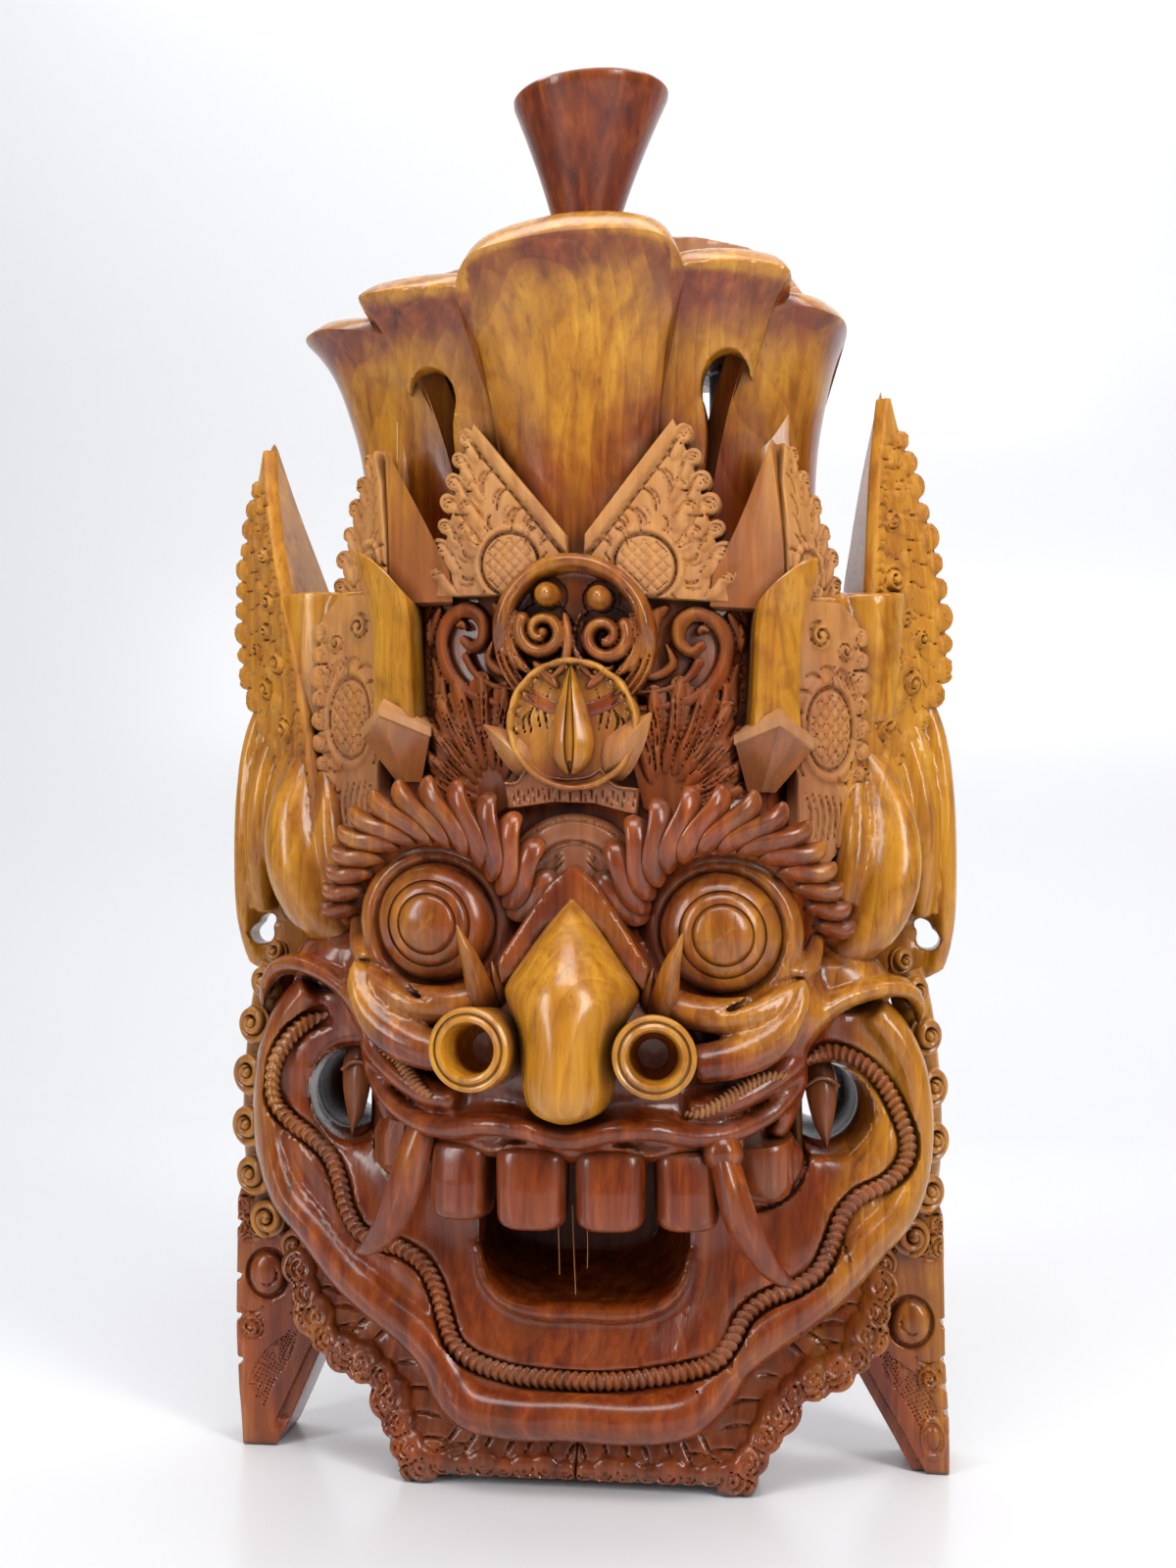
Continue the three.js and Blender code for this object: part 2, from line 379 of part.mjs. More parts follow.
const out = mask.getMesh();
const geometry = new THREE.BufferGeometry();
geometry.setAttribute('position', new THREE.BufferAttribute(new Float32Array(out.vertProperties), 3));
geometry.setIndex(new THREE.BufferAttribute(new Uint32Array(out.triVerts), 1));
geometry.computeBoundingBox();
const box = geometry.boundingBox;
geometry.translate(-(box.min.x + box.max.x) / 2, -(box.min.y + box.max.y) / 2, -box.min.z);
geometry.computeVertexNormals();

const wood = new THREE.MeshStandardMaterial({ color: 0x8a4a22, roughness: 0.32, metalness: 0 });
const maskMesh = new THREE.Mesh(geometry, wood);
maskMesh.name = 'mask';

const part = new THREE.Group();
part.name = 'barong_mask';
part.add(maskMesh);
export default part;
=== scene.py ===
import bpy, math, time
import numpy as np
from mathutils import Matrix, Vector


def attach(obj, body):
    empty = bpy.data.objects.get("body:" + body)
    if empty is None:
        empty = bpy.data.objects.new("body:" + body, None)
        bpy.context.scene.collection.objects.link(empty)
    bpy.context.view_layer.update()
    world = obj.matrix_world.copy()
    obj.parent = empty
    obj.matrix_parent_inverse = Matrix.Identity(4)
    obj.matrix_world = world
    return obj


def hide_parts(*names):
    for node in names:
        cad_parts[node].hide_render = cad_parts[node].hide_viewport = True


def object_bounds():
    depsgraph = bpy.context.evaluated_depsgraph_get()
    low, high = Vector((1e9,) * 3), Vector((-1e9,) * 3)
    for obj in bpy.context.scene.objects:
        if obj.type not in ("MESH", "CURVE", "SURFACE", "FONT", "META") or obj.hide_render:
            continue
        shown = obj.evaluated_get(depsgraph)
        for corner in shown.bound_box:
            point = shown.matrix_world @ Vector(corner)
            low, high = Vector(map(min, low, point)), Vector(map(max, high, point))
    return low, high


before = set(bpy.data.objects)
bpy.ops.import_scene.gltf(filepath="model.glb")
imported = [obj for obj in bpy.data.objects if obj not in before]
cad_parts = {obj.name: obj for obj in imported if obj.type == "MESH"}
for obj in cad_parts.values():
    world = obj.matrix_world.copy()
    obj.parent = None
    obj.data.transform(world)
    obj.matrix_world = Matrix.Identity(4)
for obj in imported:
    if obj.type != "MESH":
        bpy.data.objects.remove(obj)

import openvdb as vdb
from mathutils import Vector

# The design tables are in millimetres, x to the right, y = 0 on the flat back
# and negative towards the viewer, z up from the table. build() moves them to the
# frame of the imported model.
CAD = [list(v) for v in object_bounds()]
YB = CAD[1][1]
T0 = time.time()
F32 = np.float32


def note(*a):
    print("%6.1fs" % (time.time() - T0), *a)


# ------------------------------------------------------------------- curves
def curve(points, n, per=24):
    """Catmull-Rom through the points, resampled evenly; extra columns follow."""
    P = np.asarray(points, float)
    ext = np.vstack([2 * P[0] - P[1], P, 2 * P[-1] - P[-2]])
    out = []
    t = np.linspace(0, 1, per, endpoint=False)[:, None]
    for i in range(1, len(ext) - 2):
        a, b, c, d = ext[i - 1], ext[i], ext[i + 1], ext[i + 2]
        out.append(0.5 * (2 * b + (c - a) * t + (2 * a - 5 * b + 4 * c - d) * t ** 2 + (3 * b - a - 3 * c + d) * t ** 3))
    Q = np.vstack(out + [P[-1:]])
    L = np.r_[0, np.cumsum(np.linalg.norm(np.diff(Q[:, :3], axis=0), axis=1))]
    s = np.linspace(0, L[-1], n)
    return np.column_stack([np.interp(s, L, Q[:, k]) for k in range(Q.shape[1])])


def lerp(a, b, t):
    return a + (b - a) * t


def smooth(t):
    t = np.clip(t, 0, 1)
    return t * t * (3 - 2 * t)


def tube_frames(P, ref=(0, -1, 0)):
    T = np.gradient(P, axis=0)
    T /= np.linalg.norm(T, axis=1)[:, None]
    R = np.broadcast_to(np.asarray(ref, float), P.shape)
    N = R - (R * T).sum(1)[:, None] * T
    N /= np.linalg.norm(N, axis=1)[:, None]
    return T, N, np.cross(T, N)


# -------------------------------------------------------------------- meshes
# A mesh is (vertices, quads, triangles).
def loft(rings, cap=True):
    R = np.asarray(rings, float)
    k, n = R.shape[:2]
    V = R.reshape(-1, 3)
    i = np.arange(n); j = (i + 1) % n
    rows = np.arange(k - 1)[:, None] * n
    Q = np.stack([rows + i, rows + j, rows + n + j, rows + n + i], -1).reshape(-1, 4)
    T = np.zeros((0, 3), int)
    if cap:
        c0, c1 = len(V), len(V) + 1
        V = np.vstack([V, R[0].mean(0), R[-1].mean(0)])
        last = (k - 1) * n
        T = np.vstack([np.stack([np.full(n, c0), j, i], -1), np.stack([np.full(n, c1), last + i, last + j], -1)])
    return outward((V, Q, T))


def volume(m):
    V, Q, T = m
    tris = np.vstack([Q[:, [0, 1, 2]], Q[:, [0, 2, 3]], T]) if len(Q) else T
    a, b, c = V[tris[:, 0]], V[tris[:, 1]], V[tris[:, 2]]
    return np.einsum("ij,ij->i", a, np.cross(b, c)).sum() / 6


def outward(m):
    if volume(m) < 0:
        return m[0], m[1][:, ::-1], m[2][:, ::-1]
    return m


def sweep(P, rn, rb, sides=20, ref=(0, -1, 0), power=2.0):
    """A bar along points P; rn is its half size towards the viewer, rb across."""
    P = np.asarray(P, float)
    n = len(P)
    rn = np.broadcast_to(rn, n)[:, None, None]; rb = np.broadcast_to(rb, n)[:, None, None]
    _, N, B = tube_frames(P, ref)
    a = np.linspace(0, 2 * np.pi, sides, endpoint=False)
    c, s = np.cos(a), np.sin(a)
    c = (np.sign(c) * np.abs(c) ** (2 / power))[None, :, None]
    s = (np.sign(s) * np.abs(s) ** (2 / power))[None, :, None]
    return loft(P[:, None, :] + N[:, None, :] * rn * c + B[:, None, :] * rb * s)


def bar(points, sides=20, n=40, power=2.0, ref=(0, -1, 0)):
    """Points are x, y, z, half size to the front, half size across."""
    C = curve(points, n)
    return sweep(C[:, :3], np.maximum(C[:, 3], 0.15), np.maximum(C[:, 4], 0.15), sides, ref, power)


def turned(profile, centre, seg=48, axis=(0, -1, 0)):
    """Profile of radius and height along the axis, which starts and ends on it."""
    A = np.asarray(axis, float); A /= np.linalg.norm(A)
    U = np.cross(A, (0, 0, 1.0) if abs(A[2]) < 0.9 else (1.0, 0, 0)); U /= np.linalg.norm(U)
    W = np.cross(A, U)
    a = np.linspace(0, 2 * np.pi, seg, endpoint=False)
    rings = [np.asarray(centre) + A * h + (U * np.cos(a)[:, None] + W * np.sin(a)[:, None]) * max(r, 0.02) for r, h in profile]
    return loft(rings)


def ball(c, r, seg=28):
    r = np.broadcast_to(r, 3).astype(float)
    t = np.linspace(0, np.pi, seg // 2 + 1)
    a = np.linspace(0, 2 * np.pi, seg, endpoint=False)
    rings = [np.stack([r[0] * max(math.sin(u), 1e-3) * np.cos(a), r[1] * max(math.sin(u), 1e-3) * np.sin(a), np.full(seg, r[2] * math.cos(u))], -1) + c for u in t]
    return loft(rings)


def dloft(table, n=72, power=2.5, yback=0.0, step=3.0):
    """D-shaped level sections: height, half width, depth."""
    T = np.asarray(table, float)
    z = np.arange(T[0, 0], T[-1, 0] + step * 0.5, step)
    C = curve(T, 400)[:, :3] if len(T) > 2 else T
    zc, wc, dc = T[:, 0], T[:, 1], T[:, 2]
    w, d = hermite(z, zc, wc), hermite(z, zc, dc)
    a = np.linspace(0, np.pi, n)
    c, s = np.cos(a), np.sin(a)
    c = np.sign(c) * np.abs(c) ** (2 / power); s = np.abs(s) ** (2 / power)
    return loft([np.stack([wi * c, yback - di * s, np.full(n, zi)], -1) for zi, wi, di in zip(z, w, d)])


def hermite(x, xp, fp):
    """Monotone cubic interpolation, so a table doesn't ring."""
    xp, fp = np.asarray(xp, float), np.asarray(fp, float)
    h, dl = np.diff(xp), np.diff(fp) / np.diff(xp)
    m = np.r_[dl[0], np.where(dl[1:] * dl[:-1] > 0, 2 * dl[1:] * dl[:-1] / (dl[1:] + dl[:-1] + 1e-12), 0), dl[-1]]
    i = np.clip(np.searchsorted(xp, x) - 1, 0, len(xp) - 2)
    t = (x - xp[i]) / h[i]
    return ((1 + 2 * t) * (1 - t) ** 2 * fp[i] + t * (1 - t) ** 2 * h[i] * m[i] + t * t * (3 - 2 * t) * fp[i + 1] + t * t * (t - 1) * h[i] * m[i + 1])


def slab(f, thick, nu, nv):
    """A shell that follows f(u, v) and is thickened inwards."""
    u, v = np.meshgrid(np.linspace(0, 1, nu + 1), np.linspace(0, 1, nv + 1))
    P = f(u, v)
    du = np.gradient(P, axis=1); dv = np.gradient(P, axis=0)
    N = np.cross(du, dv); N /= np.linalg.norm(N, axis=2)[..., None] + 1e-12
    t = thick(u, v)[..., None] if callable(thick) else thick
    I = P - N * t
    ring = lambda A: np.concatenate([A[0, :], A[1:, -1], A[-1, -2::-1], A[-2:0:-1, 0]])
    V = np.vstack([P.reshape(-1, 3), I.reshape(-1, 3)])
    m = P.shape[0] * P.shape[1]
    idx = np.arange(m).reshape(P.shape[:2])
    quad = lambda A: np.stack([A[:-1, :-1], A[:-1, 1:], A[1:, 1:], A[1:, :-1]], -1).reshape(-1, 4)
    b = ring(idx); c = np.roll(b, -1)
    Q = np.vstack([quad(idx), quad(idx)[:, ::-1] + m, np.stack([b, b + m, c + m, c], -1)])
    return outward((V, Q, np.zeros((0, 3), int)))


def flip(m):
    return m[0] * (-1, 1, 1), m[1][:, ::-1], m[2][:, ::-1]


def moved(m, f):
    return outward((f(m[0]), m[1], m[2]))


def joined(parts):
    V, Q, T, o = [], [], [], 0
    for v, q, t in parts:
        V.append(v); Q.append(q + o); T.append(t + o); o += len(v)
    return np.vstack(V), np.vstack(Q), np.vstack(T)


def turn(V, deg, axis="z", about=(0, 0, 0)):
    a = math.radians(deg); c, s = math.cos(a), math.sin(a)
    i, j = {"x": (1, 2), "y": (2, 0), "z": (0, 1)}[axis]
    W = V - about
    O = W.copy()
    O[:, i] = W[:, i] * c - W[:, j] * s
    O[:, j] = W[:, i] * s + W[:, j] * c
    return O + about


def subdiv(pts, n):
    P = np.asarray(pts, float); out = []
    for a, b in zip(P, np.roll(P, -1, 0)):
        out += [lerp(a, b, t) for t in np.linspace(0, 1, n, endpoint=False)]
    return out


# -------------------------------------------------------------------- fields
class Field:
    """Distances on a grid, into which forms are carved and joined."""

    def __init__(s, lo, hi, h, band=5):
        s.h, s.band = h, band
        s.lo = np.floor(np.asarray(lo) / h).astype(int)
        s.n = np.ceil(np.asarray(hi) / h).astype(int) - s.lo + 1
        s.B = band * h
        s.a = np.full(s.n, s.B, F32)

    def local(s, lo, hi):
        l = np.maximum(np.floor(np.asarray(lo) / s.h).astype(int), s.lo)
        u = np.minimum(np.ceil(np.asarray(hi) / s.h).astype(int) + 1, s.lo + s.n)
        return l, u

    def mix(s, l, u, b, op, k):
        sl = tuple(slice(p, q) for p, q in zip(l - s.lo, u - s.lo))
        a = s.a[sl]
        if op == "cut":
            b = -b
        if op == "add":
            if k > 0:
                t = np.clip(0.5 + 0.5 * (b - a) / k, 0, 1)
                s.a[sl] = b * (1 - t) + a * t - k * t * (1 - t)
            else:
                s.a[sl] = np.minimum(a, b)
        else:
            if k > 0:
                t = np.clip(0.5 - 0.5 * (b - a) / k, 0, 1)
                s.a[sl] = b * (1 - t) + a * t + k * t * (1 - t)
            else:
                s.a[sl] = np.maximum(a, b)

    def stamp(s, m, op="add", k=0.0):
        V, Q, T = m
        pad = (s.band + 1) * s.h
        l, u = s.local(V.min(0) - pad, V.max(0) + pad)
        if (u <= l).any():
            return
        g = vdb.FloatGrid.createLevelSetFromPolygons(
            np.ascontiguousarray(V, F32), triangles=np.ascontiguousarray(T, np.uint32), quads=np.ascontiguousarray(Q, np.uint32),
            transform=vdb.createLinearTransform(s.h), halfWidth=float(s.band))
        b = np.empty(tuple(u - l), F32)
        g.copyToArray(b, ijk=tuple(int(i) for i in l))
        s.mix(l, u, b, op, k)

    def shape(s, lo, hi, f, op="add", k=0.0):
        l, u = s.local(lo, hi)
        X, Y, Z = np.meshgrid(*[np.arange(p, q, dtype=F32) * s.h for p, q in zip(l, u)], indexing="ij", sparse=True)
        s.mix(l, u, np.clip(f(X, Y, Z), -s.B, s.B).astype(F32) + np.zeros(tuple(u - l), F32), op, k)

    def mirror(s):
        cut = -s.lo[0]
        half = s.a[cut:]
        s.a = np.concatenate([half[:0:-1], half])
        s.lo[0] = -(len(half) - 1)
        s.n = np.array(s.a.shape)

    def soften(s, times=1):
        for _ in range(times):
            for ax in range(3):
                a = s.a
                b = a.copy()
                lo_, mid, hi_ = [[slice(None)] * 3 for _ in range(3)]
                lo_[ax], mid[ax], hi_[ax] = slice(0, -2), slice(1, -1), slice(2, None)
                b[tuple(mid)] = 0.25 * a[tuple(lo_)] + 0.5 * a[tuple(mid)] + 0.25 * a[tuple(hi_)]
                s.a = b

    def skin(s, adapt=0.0):
        for ax in range(3):
            e = [slice(None)] * 3
            for k in (0, -1):
                e[ax] = k
                s.a[tuple(e)] = s.B
        g = vdb.FloatGrid(float(s.B))
        g.copyFromArray(np.ascontiguousarray(s.a), ijk=tuple(int(i) for i in s.lo))
        g.transform = vdb.createLinearTransform(s.h)
        V, T, Q = g.convertToPolygons(isovalue=0.0, adaptivity=adapt)
        m = (np.asarray(V, float), np.asarray(Q, int).reshape(-1, 4), np.asarray(T, int).reshape(-1, 3))
        return outward(m)


# ---------------------------------------------------------------- the objects
PIECES = []


def lean(V):
    """The carving isn't quite even: the face sits to the right of the crown and dips that way."""
    x, y, z = V.T
    front = smooth((-y - 34) / 36)
    up = smooth((z - 385) / 70)
    dx = lerp(lerp(-2.5, 3.6, front), 1.0, up) * smooth((700 - z) / 200)
    dx = dx - np.where(x > 0, 21 * np.clip(x / 133, 0, 1.1) ** 4, 0) * up * (z < 548) + np.where(x < 0, 1.5, 0) * up * np.clip(-x / 133, 0, 1)
    dz = -0.030 * x * smooth((z - 110) / 110) * front * (1 - up) + up * 0.075 * x * np.clip(1 - (x / 118) ** 2, 0, 1) * smooth((z - 440) / 60)
    return np.column_stack([x + dx * smooth(z / 60), y, z + dz])


def build(name, meshes, sharp=35, warp=True):
    """One object from meshes in design millimetres. Each is (mesh, tone)."""
    V, Q, T, tone = [], [], [], []
    o = 0
    for m, t in meshes:
        v, q, f = m
        V.append(v); Q.append(q + o); T.append(f + o); o += len(v)
        tone.append(np.broadcast_to(t, (len(v), 3)) if not callable(t) else t(v))
    V = np.vstack(V); Q = np.vstack(Q); T = np.vstack(T); tone = np.vstack(tone)
    W = (lean(V) if warp else V) * 0.001
    W[:, 1] += YB
    me = bpy.data.meshes.new(name)
    nq, nt = len(Q), len(T)
    me.vertices.add(len(W)); me.vertices.foreach_set("co", W.astype(F32).ravel())
    me.loops.add(nq * 4 + nt * 3)
    me.loops.foreach_set("vertex_index", np.concatenate([Q.ravel(), T.ravel()]).astype(np.int32))
    me.polygons.add(nq + nt)
    me.polygons.foreach_set("loop_start", np.concatenate([np.arange(nq) * 4, nq * 4 + np.arange(nt) * 3]).astype(np.int32))
    me.polygons.foreach_set("loop_total", np.concatenate([np.full(nq, 4), np.full(nt, 3)]).astype(np.int32))
    me.polygons.foreach_set("use_smooth", np.ones(nq + nt, bool))
    me.update(calc_edges=True)
    me.validate()
    if sharp:
        me.set_sharp_from_angle(angle=math.radians(sharp))
    c = me.color_attributes.new("tone", "FLOAT_COLOR", "POINT")
    c.data.foreach_set("color", np.column_stack([tone, np.ones(len(V))]).astype(F32).ravel())
    ob = bpy.data.objects.new(name, me)
    bpy.context.scene.collection.objects.link(ob)
    PIECES.append(ob)
    note(name, "verts", len(V), "tris", nq * 2 + nt)
    return ob


# ------------------------------------------------------------ sizes and tables
HEAD = [(4, 44, 54), (22, 56, 62), (45, 64, 72), (62, 76, 68), (112, 134, 56), (150, 144, 52), (180, 141, 56), (205, 130, 72),
        (226, 116, 86), (260, 110, 90), (300, 103, 86), (384, 100, 86), (410, 92, 78)]
MUZZLE = [(152, 62, 76), (162, 80, 88), (180, 80, 96), (198, 68, 95), (214, 52, 88), (232, 36, 78)]
HOLLOW = [(92, 34, 12), (112, 58, 20), (150, 68, 23), (172, 72, 36), (200, 76, 54), (256, 74, 60), (310, 68, 58), (345, 58, 50), (368, 40, 34)]
RIM = [(0, -82, 35.5, 17, 12.2), (24, -82, 35, 17, 12.2), (44, -80, 37.5, 17, 12.2), (54, -76, 46, 17, 11.8), (61, -74, 57, 16.5, 11.4),
       (73, -72, 68, 16, 11.2), (89, -70, 79, 16, 11), (103, -67, 90, 15.5, 10.6), (118, -62, 106, 15.5, 10), (131, -57, 119, 15.5, 9.4),
       (138, -53, 137, 15.5, 8.8), (139.8, -52, 158, 15.5, 8.4), (137, -53, 178, 15, 8.6), (130, -56, 194, 13, 8.6), (120, -60, 206, 10, 8)]
CORD = [(-112.9, 195.0), (-125.2, 189.6), (-134.3, 178.5), (-137.6, 168), (-136.6, 157.5), (-129.5, 149.5), (-119.9, 143.7), (-111.6, 136.6), (-106.2, 126.4), (-102.6, 115.5),
        (-96.7, 106.4), (-87.4, 102.4), (-78.4, 100.4), (-68.9, 94.8), (-62.4, 85.1), (-58.4, 72.6), (-53.6, 61.5), (-43.0, 54.3), (-26.6, 50.4), (-5.0, 49.2), (8.0, 49.2),
        (22.9, 50.4), (43.5, 54.0), (55.6, 59.2), (62.5, 67.1), (68.0, 76.8), (76.3, 83.6), (88.7, 88.8), (98.7, 96.3), (103.8, 107.1), (108.0, 117.9), (114.9, 125.8),
        (126.0, 131.2), (133.6, 139.0), (135.6, 149.3), (131.7, 162.2), (124.3, 175.7), (114.3, 184.2), (102.7, 187.8), (92.6, 184.6)]
EYE = (59.0, -94.0, 238.0)
NOSTRIL = (36.5, -140.0, 192.0)


def across(pts):
    """A half path continued over the middle."""
    return [(-p[0],) + tuple(p[1:]) for p in pts[2:0:-1]] + list(pts)


# ------------------------------------------------------------------- the face
# Surface of the jaw inside the rim: x, z, y.
TRAY = [(0, 74, -78), (25, 76, -78), (38, 84, -77), (46, 97, -76), (47, 115, -77), (46, 142, -86), (0, 62, -80.5), (25, 64.5, -80.5), (42, 73, -81), (50, 86, -79),
        (0, 54, -87), (20, 55, -87), (44, 61, -86), (52, 69, -84), (60, 82, -82), (70, 92, -81), (86, 102, -79), (100, 111, -77), (109, 124, -74), (117, 138, -71),
        (127, 149, -67), (131, 160, -64), (128, 172, -65), (118, 184, -66), (55, 98, -77.5), (60, 116, -78), (75, 110, -77), (90, 120, -74), (60, 136, -82), (74, 130, -79), (93, 134, -71),
        (84, 146, -74), (92, 141, -71), (104, 139, -67), (114, 145, -65), (119, 158, -63), (118, 172, -64), (112, 184, -66), (100, 190, -69), (86, 170, -72), (86, 186, -76),
        (0, 34, -82), (40, 34, -80), (62, 50, -76), (82, 72, -74), (104, 88, -70), (122, 108, -63), (138, 128, -56), (146, 158, -50), (140, 185, -53), (128, 204, -58), (60, 160, -88), (0, 160, -92),
        (20, 100, -76), (20, 130, -80)]


def spline_surface(pts, x, z, lam=0.6):
    """Thin-plate surface y(x, z) through points, even in x."""
    P = np.array(pts, float)
    P = np.vstack([P, P[P[:, 0] > 0] * (-1, 1, 1)])
    d = np.hypot(P[:, None, 0] - P[None, :, 0], P[:, None, 1] - P[None, :, 1])
    K = np.where(d > 0, d * d * np.log(d + 1e-9), 0) + np.eye(len(P)) * lam * 50
    A = np.column_stack([np.ones(len(P)), P[:, :2]])
    M = np.block([[K, A], [A.T, np.zeros((3, 3))]])
    w = np.linalg.solve(M, np.r_[P[:, 2], 0, 0, 0])
    X, Z = np.meshgrid(x, z, indexing="ij")
    out = w[-3] + w[-2] * X + w[-1] * Z
    for (px, pz, _), wi in zip(P, w):
        r2 = (X - px) ** 2 + (Z - pz) ** 2
        out = out + wi * 0.5 * r2 * np.log(r2 + 1e-9)
    return out


def tray_mesh():
    x = np.arange(-16, 150, 2.0); z = np.arange(24, 206, 2.0)
    Y = spline_surface(TRAY, x, z)
    X, Z = np.meshgrid(x, z, indexing="ij")
    g = np.stack([X, Y, Z], -1)
    lim = np.interp(Z, [24, 45, 62, 90, 112, 150, 180, 206], [52, 60, 74, 100, 126, 140, 136, 122])
    g[..., 0] = np.sign(X) * np.minimum(np.abs(X), lim)
    f = lambda u, v: g
    back = g.copy(); back[..., 1] = -34
    m = g.shape[0] * g.shape[1]
    idx = np.arange(m).reshape(g.shape[:2])
    quad = lambda A: np.stack([A[:-1, :-1], A[:-1, 1:], A[1:, 1:], A[1:, :-1]], -1).reshape(-1, 4)
    ring = np.concatenate([idx[0, :], idx[1:, -1], idx[-1, -2::-1], idx[-2:0:-1, 0]]); c = np.roll(ring, -1)
    return outward((np.vstack([g.reshape(-1, 3), back.reshape(-1, 3)]), np.vstack([quad(idx), quad(idx)[:, ::-1] + m, np.stack([ring, ring + m, c + m, c], -1)]), np.zeros((0, 3), int)))


def face_field():
    h = 1.5
    F = Field((-10, -146, -2), (166, 6, 402), h, band=5)
    F.stamp(dloft([(z, w, min(d, 60) if z < 200 else d) for z, w, d in HEAD], 90, 2.5))
    F.stamp(dloft(MUZZLE, 70, 2.1, -24), k=9)
    F.stamp(tray_mesh(), k=3)
    # cheeks: full forms under the eyes, running down to the muzzle
    F.stamp(ball((72, -76, 206), (30, 27, 24)), k=8)
    F.stamp(ball((101, -54, 220), (27, 22, 13)), k=7)
    # eye sockets
    ex, ey, ez = EYE
    F.stamp(ball((ex, ey + 6, ez), (34, 15, 33)), k=5)
    F.stamp(ball((ex + 1, ey - 8, ez), (28.8, 17, 28.8)), "cut", k=1.5)
    # lower lids, a soft fold under each eye
    for pts, k in LIDS:
        F.stamp(bar(pts, 24, 60, 1.9), k=k)
    # smooth rim
    F.stamp(bar(across(RIM), 36, 150), k=2.5)
    # mouth: a deep cup with a crisp edge, a rolled lower lip and a groove under it
    F.stamp(cup(43.5, 80.5, 9, (-30, -56, -84, -118), (-9, 0, 1.5, 7)), "cut", k=0.7)
    edge = [(0, -80, 76.5, 6, 4.2), (13, -80, 76.2, 6, 4.2), (26, -79, 77.6, 6, 3.8), (36, -78, 82, 5.5, 3.2), (42.6, -77, 90, 4, 2.4), (45.2, -75, 102, 3, 1.6)]
    F.stamp(bar(across(edge), 20, 90), k=1.5)
    groove = [(0, -86, 68.4, 6, 2.3), (11, -86, 68.8, 6, 2.3), (25, -85.5, 70, 6, 2.2), (36, -84.5, 74, 5, 1.8), (45, -83, 82, 4, 1.2)]
    F.stamp(bar(across(groove), 14, 80), "cut", k=1.6)
    # cheek hollows: a funnel with a thin rim, and the hole at its back
    F.stamp(ball((102, -66, 162), (19.5, 30, 20.5)), "cut", k=4.5)
    F.stamp(ball((103, -36, 163), (16.5, 26, 18.5)), "cut", k=2.2)
    F.stamp(prism(ring2((100, 162), (11, 14), 40), -90, 8), "cut", k=1.5)
    ridge = [(99, -74, 183, 2, 1), (109, -72, 181.5, 4, 1.1), (117, -69, 175.5, 4, 1.1), (121, -67, 166, 4, 1.1), (119.5, -68, 154, 4, 1.1), (112, -72, 145, 4, 1.0), (104, -74, 139.5, 2, 0.8)]
    F.stamp(bar(ridge, 14, 70), k=1.2)
    # shelf over the teeth, gum and lip
    F.stamp(loft([[(x, y, z) for x, y in shelf_plan(g)] for z, g in ((154, -10), (157, -5), (163, -2), (172, -6), (184, -16))]), k=5)
    F.stamp(bar(across(LIP), 30, 120, 1.9), k=3.5)
    F.stamp(bar(across([(x, y - 6.5, z - 2.6, 2.8, 1.9) for x, y, z, _, _ in LIP[:-1]]), 16, 110), k=0.8)
    F.stamp(bar(across([(x, y - 3, z + 5.5, 4, 1.3) for x, y, z, _, _ in LIP[:-1]]), 14, 110), "cut", k=2.0)
    F.stamp(bar(across([(0, -107, 150, 8, 7), (20, -106, 151, 8, 7), (36, -103, 151, 8, 7), (52, -96, 150, 8, 7), (66, -88, 152, 7, 6)]), 20, 70), k=1.5)
    F.stamp(bar(across(GUM), 14, 160, 1.8), k=0.8)
    # hollow behind the face
    F.stamp(dloft(HOLLOW, 60, 2.2, 1), "cut", k=1.5)
    # bars of the cheek and moustache
    for pts, k in CHEEK_BARS:
        F.stamp(bar(pts, 26, 70, 1.9), k=k)
    for pts in CHEEK_CUTS:
        F.stamp(bar(pts, 14, 60), "cut", k=0.8)
    # hood over the nose
    F.stamp(prism([(0, 265), (10, 256.5), (32, 223), (29, 213), (20, 224), (11, 238), (0, 243)] + [(-11, 238), (-20, 224), (-29, 213), (-32, 223), (-10, 256.5)], -110, -80), k=1.2)
    F.mirror()
    F.soften(1)
    # sockets round the molars
    for pts in ([(92, -84, 152, 4, 1.3), (93, -86, 141, 6, 1.5), (89, -88, 130, 6, 1.5), (80, -90, 122.5, 6, 1.4), (70, -92, 120, 4, 1)],
                [(-88, -84, 158, 4, 1.3), (-91, -85, 148, 6, 1.5), (-89, -87, 138, 6, 1.5), (-82, -89, 131, 6, 1.3), (-74, -91, 129, 4, 1)]):
        F.stamp(bar(seated(F, pts, 0.5), 14, 60), "cut", k=0.8)
    # channel that the cord lies in
    P = cord_path(F)
    F.stamp(sweep(P, 3.4, 4.7, 22, power=3.2), "cut", k=0.8)
    # drying cracks across the rim and the cheek
    for pts in CRACKS:
        F.stamp(bar(seated(F, [(x, 0, z, w * 3, w) for x, z, w in pts], -0.3), 10, 40), "cut", k=0.0)
    return F, P


CRACKS = [[(103, 115, 0.2), (107.5, 108, 0.5), (111, 101, 0.55), (112.5, 97.5, 0.2)], [(91, 97.5, 0.15), (97, 98.5, 0.45), (103, 96.5, 0.2)],
          [(58, 68, 0.2), (61.5, 63, 0.5), (63, 57, 0.45), (62, 52, 0.2)], [(46, 50.5, 0.2), (50, 48, 0.4), (53, 46.5, 0.15)],
          [(-84, 98, 0.2), (-83, 92, 0.5), (-83.5, 86, 0.4), (-83.2, 82, 0.2)], [(-111, 118, 0.15), (-116, 114, 0.35), (-120, 112, 0.15)]]


